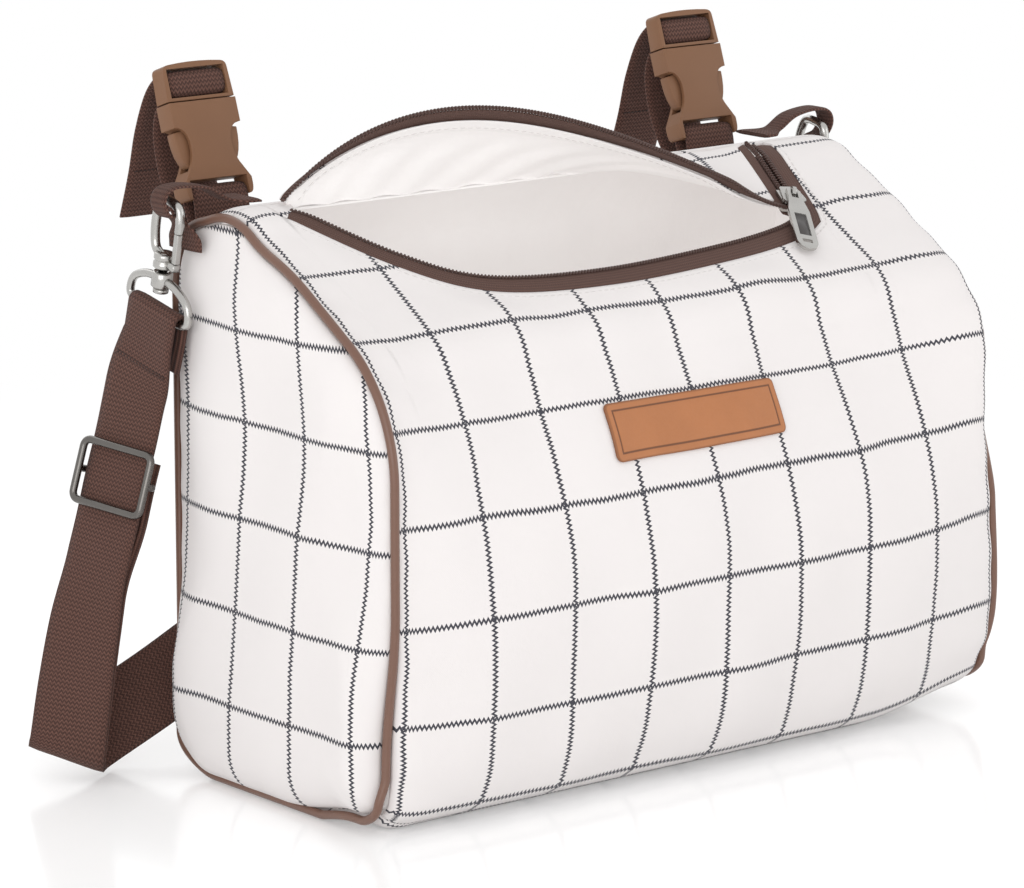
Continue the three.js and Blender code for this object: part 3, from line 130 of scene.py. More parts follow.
def ease(x: Array | float, low: float, high: float) -> Array:
    """A smooth step from 0 at low to 1 at high: 3t^2 - 2t^3."""
    t = np.clip((np.asarray(x, float) - low) / (high - low), 0, 1)
    return t * t * (3 - 2 * t)


def fade(x: Array | float, low: float, high: float) -> Array:
    """A smooth step from 1 at low to 0 at high."""
    return 1 - ease(x, low, high)


def bell(x: Array, middle: float, width: float) -> Array:
    """A smooth hump of height 1: e to the power of -((x - middle) / width)^2."""
    return np.exp(-(((x - middle) / width) ** 2))


def mix(a: Array | float, b: Array | float, t: Array | float) -> Array:
    """The value a share t of the way from a to b."""
    return np.asarray(a, float) + (np.asarray(b, float) - np.asarray(a, float)) * t


def crown(share: Array) -> Array:
    """How far a stuffed panel stands out: 1 in its middle, 0 at its seams, flat on top."""
    return np.maximum(0, 1 - np.abs(share) ** 4)


def around(sides: int) -> Array:
    """Angles of points spaced evenly round a circle."""
    return np.linspace(0, 2 * math.pi, sides, endpoint=False)


def along_of(points: Array) -> Array:
    """Unit direction of travel along a row of points, by central differences."""
    return unit(np.gradient(points, axis=0))


def lengths(points: Array) -> Array:
    """Length travelled along a row of points, from 0 at its start."""
    steps = np.linalg.norm(np.diff(points, axis=0), axis=-1)
    return np.concatenate([[0.0], np.cumsum(steps)])


def sample(at: Array, travelled: Array, rows: Array) -> Array:
    """Rows of numbers at chosen lengths along a path, each column in proportion."""
    return np.stack([np.interp(at, travelled, column) for column in rows.T], 1)


def through(points: Array, t: Array, even: bool = False) -> Array:
    """A smooth curve through points: cubic pieces whose tangents weigh the chords by their root length.

    Args:
        points: Stops of the curve, one row each.
        t: Parameters from 0 to 1, an equal share for each piece.
        even: Weigh all chords alike, and let the end tangents be half chords.

    Returns:
        One row for each parameter.
    """
    p = np.asarray(points, float)
    last = len(p) - 2
    q = np.clip(t, 0, 1) * (len(p) - 1)
    i = np.minimum(q.astype(int), last)
    w = (q - i)[:, None]
    lead = p[:1] if even else 2 * p[:1] - p[1:2]
    trail = p[-1:] if even else 2 * p[-1:] - p[-2:-1]
    full = np.concatenate([lead, p, trail])
    p0, p1, p2, p3 = (full[i + k] for k in range(4))
    if even:
        t1, t2 = (p2 - p0) / 2, (p3 - p1) / 2
    else:
        chords = (p1 - p0, p2 - p1, p3 - p2)
        d0, d1, d2 = (np.maximum(np.linalg.norm(c, axis=1), 1e-4)[:, None] ** 0.5 for c in chords)
        t1 = d1 * ((p1 - p0) / d0 - (p2 - p0) / (d0 + d1) + (p2 - p1) / d1)
        t2 = d1 * ((p2 - p1) / d1 - (p3 - p1) / (d1 + d2) + (p3 - p2) / d2)
    return p1 + t1 * w + (3 * (p2 - p1) - 2 * t1 - t2) * w**2 + (2 * (p1 - p2) + t1 + t2) * w**3


def evenly(points: Array, count: int, even: bool = False) -> Array:
    """Parameters of a smooth curve through points at equal lengths along it.

    Args:
        points: Stops of the curve, one row each.
        count: How many parameters.
        even: As in through.

    Returns:
        The parameters, from 0 to 1.
    """
    fine = np.linspace(0, 1, 2400)
    travelled = lengths(through(points, fine, even))
    return np.interp(np.linspace(0, travelled[-1], count), travelled, fine)


# Meshes


@dataclass
class Skin:
    """Points, faces and cloth coordinates of one piece, gathered from grids of points."""

    points: list[Array] = field(default_factory=list)
    faces: list[list[int]] = field(default_factory=list)
    cloth: list[Array] = field(default_factory=list)
    count: int = 0

    def grid(
        self,
        points: Array,
        cloth: Array | None = None,
        inside: Sequence[float] | None = None,
        wrap: bool = False,
        caps: tuple[int, ...] = (),
    ) -> "Skin":
        """Adds a surface given as a grid of points, with its faces turned outwards.

        Args:
            points: Points by row and column.
            cloth: Cloth coordinates by row and column, with one more column where the grid wraps.
            inside: A point behind an open surface; a closed one is turned by its volume.
            wrap: The last column joins the first.
            caps: Rows that are closed by fans: 0 for the first, -1 for the last.

        Returns:
            The skin itself.
        """
        rows, columns = points.shape[:2]
        across = columns if wrap else columns - 1
        if cloth is None:
            cloth = np.zeros((rows, across + 1, 2))
        r, c = np.meshgrid(np.arange(rows - 1), np.arange(across), indexing="ij")
        ring = lambda i, j: (i * columns + j % columns).ravel()
        corner = lambda i, j: cloth[i, j].reshape(-1, 2)
        quads, coords = (
            np.stack([at(r, c), at(r + 1, c), at(r + 1, c + 1), at(r, c + 1)], 1) for at in (ring, corner)
        )
        flat = points.reshape(-1, 3)
        faces = [quads]
        marks = [coords]
        for row in caps:
            base = row % rows * columns
            j = np.arange(columns)
            fan = np.stack([base + j, base + (j + 1) % columns, np.full(columns, len(flat))], 1)
            edge = cloth[row, :columns]
            mark = np.stack([edge, np.roll(edge, -1, 0), np.broadcast_to(edge.mean(0), edge.shape)], 1)
            faces.append(fan[:, :: 1 if row == 0 else -1])
            marks.append(mark[:, :: 1 if row == 0 else -1])
            flat = np.concatenate([flat, points[row].mean(0)[None]])
        if self._inward(flat, faces, inside):
            faces = [f[:, ::-1] for f in faces]
            marks = [m[:, ::-1] for m in marks]
        self.points.append(flat)
        self.cloth.extend(m.reshape(-1, 2) for m in marks)
        self.faces.extend(row for f in faces for row in (f + self.count).tolist())
        self.count += len(flat)
        return self

    @staticmethod
    def _inward(flat: Array, faces: list[Array], inside: Sequence[float] | None) -> bool:
        """Whether the faces look inwards, by their volume or from a point behind them."""
        total = 0.0
        for f in faces:
            a, b, c = flat[f[:, 0]], flat[f[:, 1]], flat[f[:, 2]]
            normal = np.cross(b - a, c - a)
            if f.shape[1] == 4:
                normal = np.cross(c - a, flat[f[:, 3]] - b)
            middle = flat[f].mean(1)
            back = flat.mean(0) if inside is None else np.asarray(inside, float)
            total += float((normal * (middle - back)).sum())
        return total < 0

    def copies(self, shape: Array, quads: Array, frames: Array, origins: Array) -> "Skin":
        """Adds one small closed shape many times.

        Args:
            shape: Points of the shape, its faces turned outwards.
            quads: Faces of the shape.
            frames: A matrix of three columns for each copy.
            origins: The place of each copy.

        Returns:
            The skin itself.
        """
        placed = np.einsum("nij,mj->nmi", frames, shape) + origins[:, None]
        offsets = self.count + np.arange(len(origins))[:, None, None] * len(shape)
        self.points.append(placed.reshape(-1, 3))
        self.faces.extend((quads[None] + offsets).reshape(-1, quads.shape[1]).tolist())
        self.cloth.append(np.zeros((len(origins) * quads.size, 2)))
        self.count += len(shape) * len(origins)
        return self

    def mesh(self, name: str) -> bpy.types.Mesh:
        """The gathered surface as a smooth mesh in metres, with its cloth coordinates."""
        made = bpy.data.meshes.new(name)
        made.from_pydata((np.concatenate(self.points) * METRE).tolist(), [], self.faces)
        layer = made.uv_layers.new(name="cloth")
        layer.data.foreach_set("uv", np.concatenate(self.cloth).ravel().astype(np.float32))
        made.polygons.foreach_set("use_smooth", np.ones(len(made.polygons), bool))
        made.update()
        return made


@dataclass(frozen=True)
class Dress:
    """What a piece wears and what it stands for."""

    finish: Material
    slot: Slot
    body: str = "bag"
    replaces: tuple[str, ...] = ()
    thickness: float = 0.0
    bend: tuple[Array, Array] | None = None


def show(thing: bpy.types.Object) -> None:
    """Puts an object into the scene."""
    bpy.context.scene.collection.objects.link(thing)


def dress(name: str, skin: Skin | bpy.types.Mesh, wear: Dress) -> bpy.types.Object:
    """Makes an object of a surface and hangs it on the model; a piece with a bend is left unhung.

    Args:
        name: Name of the piece.
        skin: Its surface, or a finished mesh.
        wear: Its material, body and the nodes that it stands for; its bend marks where it crosses the lid's
            hinge, but nothing bends it.

    Returns:
        The new object.
    """
    mesh = skin.mesh(name) if isinstance(skin, Skin) else skin
    piece = bpy.data.objects.new(name, mesh)
    show(piece)
    mesh.materials.clear()
    mesh.materials.append(wear.finish)
    if wear.thickness:
        wall = piece.modifiers.new("wall", "SOLIDIFY")
        wall.thickness = wear.thickness * METRE
        wall.offset = -1
        wall.use_even_offset = False
    if wear.bend is None:
        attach(piece, wear.body)
    else:
        start, end = (tuple(float(x) * METRE for x in p) for p in wear.bend)
        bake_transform(piece)
    if wear.replaces:
        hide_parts(*wear.replaces)
    LOG.info("%s: %d faces on %s", name, len(mesh.polygons), wear.body)
    return piece


def circles(middle: Array, side: Array, other: Array, radius: float, sides: int) -> Array:
    """A row of circles: each point is its middle plus the radius times side by cosine and other by sine."""
    angle = around(sides)[None, :, None]
    return middle[:, None] + radius * (side[:, None] * np.cos(angle) + other[:, None] * np.sin(angle))


def tube(path: Array, radius: float, sides: int = 14, closed: bool = False) -> Array:
    """A round bar: circles square to a path that lies about in one plane.

    Args:
        path: Points of its middle line.
        radius: Its radius.
        sides: Points of a circle.
        closed: The path runs back into its start.

    Returns:
        The grid of points, a row for each circle, the first again at the end where it is closed.
    """
    line = np.concatenate([path, path[:1]]) if closed else path
    along = along_of(line)
    if closed:
        along[0] = along[-1] = unit(line[1] - line[-2])
    flat = np.linalg.svd(along - along.mean(0))[2][-1]
    side = unit(np.cross(along, flat))
    return circles(line, side, np.cross(along, side), radius, sides)


def turned(profile: Sequence[tuple[float, float]], sides: int = 24) -> Array:
    """A turned form: a profile of radius and height carried round the Z axis."""
    r, z = np.array(profile, float).T
    angle = around(sides)
    xy = r[:, None, None] * np.stack([np.cos(angle), np.sin(angle)], -1)
    return np.concatenate([xy, np.broadcast_to(z[:, None, None], (len(r), sides, 1))], -1)


def rounded(half_width: float, half_height: float, radius: float) -> Array:
    """A flat rounded rectangle, with equally many points on each side and corner."""
    w, h = half_width - radius, half_height - radius
    corners = [(w, h), (-w, h), (-w, -h), (w, -h)]
    rows = []
    for quarter, (centre, after) in enumerate(zip(corners, corners[1:] + corners[:1])):
        angle = math.pi / 2 * (quarter + np.linspace(0, 1, 8))
        edge = radius * np.stack([np.cos(angle), np.sin(angle)], 1)
        arc = centre + edge
        rows += [arc, mix(arc[-1], after + edge[-1], np.linspace(0, 1, 14)[1:-1, None])]
    return np.concatenate(rows)


@dataclass(frozen=True)
class Band:
    """A length of webbing: a flat strip with rounded edges, carried along a row of frames."""

    place: Array
    across: Array
    half: Array
    thickness: float

    @cached_property
    def along(self) -> Array:
        """Direction of travel at each frame."""
        return along_of(self.place)

    @cached_property
    def side(self) -> Array:
        """Width direction at each frame, square to the travel."""
        slip = (self.across * self.along).sum(1, keepdims=True)
        return unit(self.across - slip * self.along)

    @cached_property
    def face(self) -> Array:
        """Direction that the webbing's front looks in."""
        return np.cross(self.along, self.side)

    def at(self, row: float, width: float, lift: float) -> Array:
        """A place on the webbing: by row, share of its half width, and height over its middle."""
        i = int(round(row * (len(self.place) - 1)))
        return self.place[i] + self.side[i] * width * self.half[i] + self.face[i] * lift

    def add_to(self, skin: Skin) -> Skin:
        """Adds the strip; cloth coordinates run across the front, then across the back, and along it."""
        count, apart = 9, 4
        share = np.linspace(-1, 1, count)
        w = np.concatenate([share, share[::-1]])
        front = np.repeat([1.0, -1.0], count)
        soft = np.where(np.abs(w) > 0.99, 0.45, np.where(np.abs(w) > 0.7, 0.92, 1.0))
        points = self.place[:, None] + self.side[:, None] * (self.half[:, None, None] * w[None, :, None])
        points = points + self.face[:, None] * (self.thickness / 2 * front * soft)[None, :, None]
        full = 2 * float(self.half.max())
        behind = full + apart
        lanes = [np.linspace(start, start + full, count) for start in (0, behind)]
        u = np.concatenate([*lanes, [behind + full]])
        cloth = np.stack(np.broadcast_arrays(u[None], lengths(self.place)[:, None]), -1)
        return skin.grid(points, cloth, wrap=True, caps=(0, -1))


class Stitch(Enum):
    """Kinds of sewn stitch: length, gap to the next and thickness of the thread."""

    TOP = (2.2, 0.9, 0.42)
    HEM = (2.4, 1.0, 0.4)
    CROSS = (2.2, 0.8, 0.5)
    TAIL = (1.6, 0.3, 0.7)
    BARTACK = (1.5, 0.2, 0.6)


def stitches(skin: Skin, path: Array, normal: Array, kind: Stitch) -> Skin:
    """Adds a row of sewn stitches along a path: small capsules, half sunk into the cloth.

    Args:
        skin: Where they go.
        path: Points of the row.
        normal: Direction out of the cloth, one for the row or one at each point.
        kind: The stitch.

    Returns:
        The skin.
    """
    length, gap, width = kind.value
    travelled = lengths(path)
    count = max(2, int(travelled[-1] / (length + gap)))
    middle = (np.arange(count) + 0.5) * travelled[-1] / count
    normals = np.broadcast_to(normal, path.shape)
    along, out = (unit(sample(middle, travelled, rows)) for rows in (along_of(path), normals))
    rings, sides = 5, 6
    t, angle = np.linspace(-1, 1, rings), around(sides)
    radius = width / 2 * np.sqrt(np.maximum(1 - t**2, 0.04))[:, None]
    round_it = [(radius * np.cos(angle)).ravel(), (radius * np.sin(angle)).ravel()]
    shape = np.stack([np.repeat(t * length / 2, sides), *round_it], 1)
    r, c = np.meshgrid(np.arange(rings - 1), np.arange(sides), indexing="ij")
    at = lambda i, j: (i * sides + j % sides).ravel()
    quads = np.stack([at(r + 1, c), at(r + 1, c + 1), at(r, c + 1), at(r, c)], 1)
    frames = np.stack([along, np.cross(out, along), out], 2)
    return skin.copies(shape, quads, frames, sample(middle, travelled, path))


# Shader sums


def math_node(operation: str, swapped: bool = False) -> Callable[..., "Number"]:
    """A method of Number that makes one Math node; swapped, the other number comes first."""

    def method(self: "Number", *others: "Number | float") -> "Number":
        """What the node works out."""
        values = [*others, self] if swapped else [self, *others]
        node = self.graph.node("ShaderNodeMath", {"operation": operation}, dict(enumerate(values)))
        return Number(self.graph, node.outputs[0])

    return method


class Number:
    """A number that a shader works out, which takes part in sums."""

    __add__ = __radd__ = math_node("ADD")
    __sub__ = math_node("SUBTRACT")
    __rsub__ = math_node("SUBTRACT", swapped=True)
    __mul__ = math_node("MULTIPLY")
    __truediv__ = math_node("DIVIDE")
    __abs__ = math_node("ABSOLUTE")
    below = math_node("LESS_THAN")
    most = math_node("MAXIMUM")
    least = math_node("MINIMUM")
    fraction = math_node("FRACT")
    root = math_node("SQRT")
    sine = math_node("SINE")

    def __init__(self, graph: "Graph", socket: Socket) -> None:
        """Wraps a socket of a graph."""
        self.graph = graph
        self.socket = socket

    def wave(self) -> "Number":
        """Sine of one turn for each whole number, from -1 to 1."""
        return (self * (2 * math.pi)).sine()

    def ridge(self) -> "Number":
        """1 at each whole number, 0 halfway between two, and straight slopes."""
        return abs(self.fraction() - 0.5) * 2

    def step(self, low: float, high: float) -> "Number":
        """A smooth step from 0 at low to 1 at high."""
        node = self.graph.node(
            "ShaderNodeMapRange",
            {"interpolation_type": "SMOOTHSTEP"},
            {"Value": self, "From Min": low, "From Max": high},
        )
        return Number(self.graph, node.outputs["Result"])


class Graph:
    """The nodes of one shader."""

    def __init__(self, tree: bpy.types.NodeTree) -> None:
        """Starts with no nodes."""
        self.tree = tree
        tree.nodes.clear()

    def node(self, kind: str, settings: dict | None = None, inputs: dict | None = None) -> bpy.types.Node:
        """Makes a node.

        Args:
            kind: Its type.
            settings: Attributes, set first.
            inputs: Values or links by socket name or place.

        Returns:
            The node.
        """
        made = self.tree.nodes.new(kind)
        for key, value in (settings or {}).items():
            setattr(made, key, value)
        for key, value in (inputs or {}).items():
            self.feed(made.inputs[key], value)
        return made

    def feed(self, socket: Socket, value: object) -> None:
        """Links a socket to a number or another socket, or sets its value."""
        if isinstance(value, Number):
            self.tree.links.new(value.socket, socket)
        elif isinstance(value, Socket):
            self.tree.links.new(value, socket)
        elif isinstance(value, tuple) and socket.type == "RGBA":
            socket.default_value = (*value, 1.0)
        else:
            socket.default_value = value

    def split(self, vector: Socket) -> tuple[Number, Number, Number]:
        """The three numbers of a vector."""
        parts = self.node("ShaderNodeSeparateXYZ", {}, {0: vector})
        return tuple(Number(self, out) for out in parts.outputs)

    def cloth(self) -> tuple[Number, Number]:
        """Cloth coordinates across and along, in millimetres."""
        u, v, _ = self.split(self.node("ShaderNodeUVMap", {"uv_map": "cloth"}).outputs[0])
        return u, v

    def body(self) -> Socket:
        """Place on the object, in metres."""
        return self.node("ShaderNodeTexCoord").outputs["Object"]

    def seen(self) -> Number:
        """1 for what the camera sees itself, in a shine or through glass, otherwise 0."""
        path = self.node("ShaderNodeLightPath").outputs
        rays = ("Is Camera Ray", "Is Glossy Ray", "Is Transmission Ray")
        direct, shine, passed = (Number(self, path[ray]) for ray in rays)
        return direct.most(shine).most(passed)

    def noise(self, scale: float, detail: float = 2.0, stretch: Colour = (1.0, 1.0, 1.0)) -> Number:
        """Cloudy noise on the object, from 0 to 1; the scale is in clouds to the metre."""
        stretched = self.node("ShaderNodeMapping", {}, {"Vector": self.body(), "Scale": stretch})
        made = self.node(
            "ShaderNodeTexNoise", {}, {"Vector": stretched.outputs[0], "Scale": scale, "Detail": detail}
        )
        return Number(self, made.outputs[0])

    def blend(self, share: Number, a: Colour | Socket, b: Colour | Socket) -> Socket:
        """The colour a share of the way from a to b."""
        made = self.node("ShaderNodeMix", {"data_type": "RGBA"}, {0: share, 6: a, 7: b})
        return made.outputs[2]

    def bump(self, height: Number, strength: float = 1.0) -> Socket:
        """The normal of a surface with heights in millimetres."""
        made = self.node("ShaderNodeBump", {}, {"Height": height, "Distance": METRE, "Strength": strength})
        return made.outputs[0]


class Paint(Graph):
    """The nodes of one material."""

    def __init__(self, name: str) -> None:
        """Starts a material with a bare surface shader."""
        self.material = bpy.data.materials.new(name)
        self.material.use_nodes = True
        super().__init__(self.material.node_tree)
        self.shader = self.node("ShaderNodeBsdfPrincipled")
        self.output = self.node("ShaderNodeOutputMaterial", {}, {"Surface": self.shader.outputs[0]})

    def surface(self, **sockets: object) -> Material:
        """Feeds the surface shader; a name's underscores stand for spaces."""
        for name, value in sockets.items():
            self.feed(self.shader.inputs[name.replace("_", " ")], value)
        return self.material


# Finishes


class Finish(Protocol):
    """Whatever makes a material."""

    def material(self, name: str) -> Material:
        """The material under a name."""


def shaded(tone: Colour, share: float) -> Colour:
    """A darker tone, by its share of the light."""
    return tuple(c * share for c in tone)


@dataclass(frozen=True)
class CheckCloth:
    """Cream cloth with a printed windowpane check of dark zigzag lines, which wander a little."""

    cell: float = 36.7
    cream: Colour = (0.9, 0.86, 0.85)
    ink: Colour = (0.018, 0.019, 0.035)
    pitch: float = 1.8
    swing: float = 0.8
    stroke: float = 0.74
    wander: float = 2.4
    yarn: float = 0.62

    def zigzag(self, along: Number) -> Number:
        """How far a line swings to its side, by place along it."""
        return (abs((along / self.pitch).fraction() - 0.5) * 4 - 1) * self.swing

    def from_line(self, place: Number) -> Number:
        """Distance to the nearest line of the check."""
        return ((place / self.cell + 0.5).fraction() - 0.5) * self.cell

    def material(self, name: str) -> Material:
        g = Paint(name)
        u, v = g.cloth()
        u = u + (g.noise(26.0) - 0.5) * self.wander
        v = v + (g.noise(31.0) - 0.5) * self.wander
        du, dv = self.from_line(u), self.from_line(v)
        upright = abs(du - self.zigzag(v)).below(self.stroke)
        level = abs(dv - self.zigzag(u)).below(self.stroke)
        worn = 0.9 + g.noise(900.0) * 0.1
        printed = upright.most(level) * worn
        tone = g.blend(g.noise(9.0, 3.0), self.cream, shaded(self.cream, 0.965))
        weave = (u / self.yarn).wave() * (v / self.yarn).wave()
        height = weave * 0.035 + g.noise(60.0, 4.0) * 0.5 + printed * 0.05
        return g.surface(
            Base_Color=g.blend(printed, tone, self.ink),
            Roughness=0.78 + g.noise(300.0) * 0.14,
            Normal=g.bump(height, 0.55),
            Sheen_Weight=0.15,
            Specular_IOR_Level=0.3,
        )


@dataclass(frozen=True)
class LiningCloth:
    """Smooth pale lining with a soft shine and faint creases; its slight glow is daylight from outside."""

    tone: Colour = (0.88, 0.855, 0.843)
    glow: float = 0.18

    def material(self, name: str) -> Material:
        """The lining."""
        g = Paint(name)
        crease = g.noise(38.0, 5.0, (1.0, 0.45, 1.0))
        grain = g.noise(1500.0)
        return g.surface(
            Base_Color=g.blend(crease, self.tone, shaded(self.tone, 0.9)),
            Roughness=0.5 + grain * 0.2,
            Normal=g.bump(crease * 2.2 + grain * 0.05, 0.6),
            Sheen_Weight=0.2,
            Emission_Color=self.tone,
            Emission_Strength=self.glow,
        )


@dataclass(frozen=True)
class Webbing:
    """Woven strap: a twill of short slanted threads, and lengthwise ribs on the back of the wide strap."""

    dark: Colour = (0.042, 0.02, 0.016)
    light: Colour = (0.205, 0.1, 0.076)
    ribs_from: float = 1000.0
    pitch: float = 1.7
    rib_pitch: float = 2.4
    weft_pitch: float = 0.8

    def material(self, name: str) -> Material:
        """The webbing."""
        g = Paint(name)
        u, v = g.cloth()
        behind = 1 - u.below(self.ribs_from)
        lane = (u / self.pitch).fraction()
        thread = (v / self.pitch + abs(lane - 0.5) * 1.3).ridge()
        twill = thread.step(0.15, 0.95) * (0.55 + abs(lane - 0.5) * 0.9)
        ribbed = (u / self.rib_pitch).ridge().step(0.25, 0.8) * 0.85 + (v / self.weft_pitch).wave() * 0.12
        face = twill * (1 - behind) + ribbed * behind
        fuzz = g.noise(1400.0, 3.0)
        shade = face * 0.75 + fuzz * 0.3
        return g.surface(
            Base_Color=g.blend(shade.least(1.0), self.dark, self.light),
            Roughness=0.72 + fuzz * 0.2,
            Normal=g.bump(face * 0.32 + fuzz * 0.1, 0.9),
            Sheen_Weight=0.04,
            Specular_IOR_Level=0.25,
        )


@dataclass(frozen=True)
class ZipTape:
    """Fine woven zip tape with ribs along its length."""

    dark: Colour = (0.05, 0.024, 0.019)
    light: Colour = (0.15, 0.078, 0.06)
    rib: float = 1.15

    def material(self, name: str) -> Material:
        """The tape; its weft runs in zigzags two ribs wide, one to the millimetre."""
        g = Paint(name)
        u, v = g.cloth()
        rib = (u / self.rib).ridge()
        weft = (v + abs((u / (2 * self.rib)).fraction() - 0.5) * 1.4).ridge()
        woven = rib * 0.5 + weft * 0.5
        fuzz = g.noise(1200.0, 3.0)
        return g.surface(
            Base_Color=g.blend(woven * 0.7 + fuzz * 0.3, self.dark, self.light),
            Roughness=0.75 + fuzz * 0.15,
            Normal=g.bump(woven * 0.16 + fuzz * 0.06, 0.9),
        )


@dataclass(frozen=True)
class Hide:
    """Tan leather with pores and a darker pressed border; the cloth coordinates run from its edge."""

    tan: Colour = (0.52, 0.2, 0.075)
    dark: Colour = (0.12, 0.045, 0.02)
    border: float = 3.1

    def material(self, name: str) -> Material:
        """The leather."""
        g = Paint(name)
        inset, _ = g.cloth()
        groove = 1 - abs(inset - self.border).step(0.15, 0.55)
        rim = 1 - inset.step(0.2, 1.1)
        pore = g.noise(950.0, 4.0)
        cloud = g.noise(70.0, 3.0)
        tone = g.blend(cloud, self.tan, shaded(self.tan, 0.8))
        pressed = (groove * 0.85).most(rim * 0.55)
        return g.surface(
            Base_Color=g.blend(pressed, tone, self.dark),
            Roughness=0.48 + pore * 0.25,
            Normal=g.bump(pore * 0.12 + cloud * 0.15, 0.8),
        )


@dataclass(frozen=True)
class Moulded:
    """Satin plastic with a fine spark-eroded grain."""

    tone: Colour
    rough: float = 0.42
    grain: float = 0.035
    shine: float = 0.5

    def material(self, name: str) -> Material:
        """The plastic."""
        g = Paint(name)
        fine = g.noise(2600.0, 3.0)
        cloud = g.noise(45.0)
        return g.surface(
            Base_Color=g.blend(cloud, self.tone, shaded(self.tone, 0.86)),
            Roughness=self.rough + fine * 0.12,
            Normal=g.bump(fine * self.grain),
            Specular_IOR_Level=self.shine,
        )


@dataclass(frozen=True)
class Bright:
    """Polished metal with faint brushing and small scratches."""

    tone: Colour
    rough: float = 0.16

    def material(self, name: str) -> Material:
        """The metal."""
        g = Paint(name)
        scratch = g.noise(700.0, 4.0, (1.0, 0.15, 1.0))
        cloud = g.noise(120.0)
        return g.surface(
            Base_Color=g.blend(cloud, self.tone, shaded(self.tone, 0.82)),
            Metallic=1.0,
            Roughness=self.rough + scratch * 0.16,
            Normal=g.bump(scratch * 0.012),
        )


def worn(finish: Finish, name: str) -> Material:
    """A field of the wardrobe, which makes a finish under a name."""
    return field(default_factory=lambda: finish.material(name))


@dataclass(frozen=True)
class Wardrobe:
    """Every finish of the bag, made once."""

    cloth: Material = worn(CheckCloth(), "check_cloth")
    lining: Material = worn(LiningCloth(), "lining_cloth")
    webbing: Material = worn(Webbing(), "brown_webbing")
    strap: Material = worn(Webbing(ribs_from=32.0), "strap_webbing")
    tape: Material = worn(ZipTape(), "zip_tape")
    coil: Material = worn(Moulded((0.085, 0.043, 0.034), 0.35), "zip_coil_nylon")
    piping: Material = worn(Moulded((0.2, 0.102, 0.07), 0.26, 0.08), "piping_cord")
    enamel: Material = worn(Moulded((0.075, 0.068, 0.066), 0.3), "dark_enamel")
    label: Material = worn(Hide(), "label_hide")
    buckle: Material = worn(Moulded((0.24, 0.117, 0.06), 0.48, 0.035, 0.35), "buckle_plastic_brown")
    silver: Material = worn(Bright((0.52, 0.51, 0.49)), "silver_metal")
    gunmetal: Material = worn(Bright((0.17, 0.16, 0.15), 0.2), "gunmetal")
    thread: Material = worn(Moulded((0.045, 0.022, 0.018), 0.6, 0.05), "brown_thread")
    pale_thread: Material = worn(Moulded((0.8, 0.77, 0.75), 0.6, 0.05), "cream_thread")


# The bag's own surface


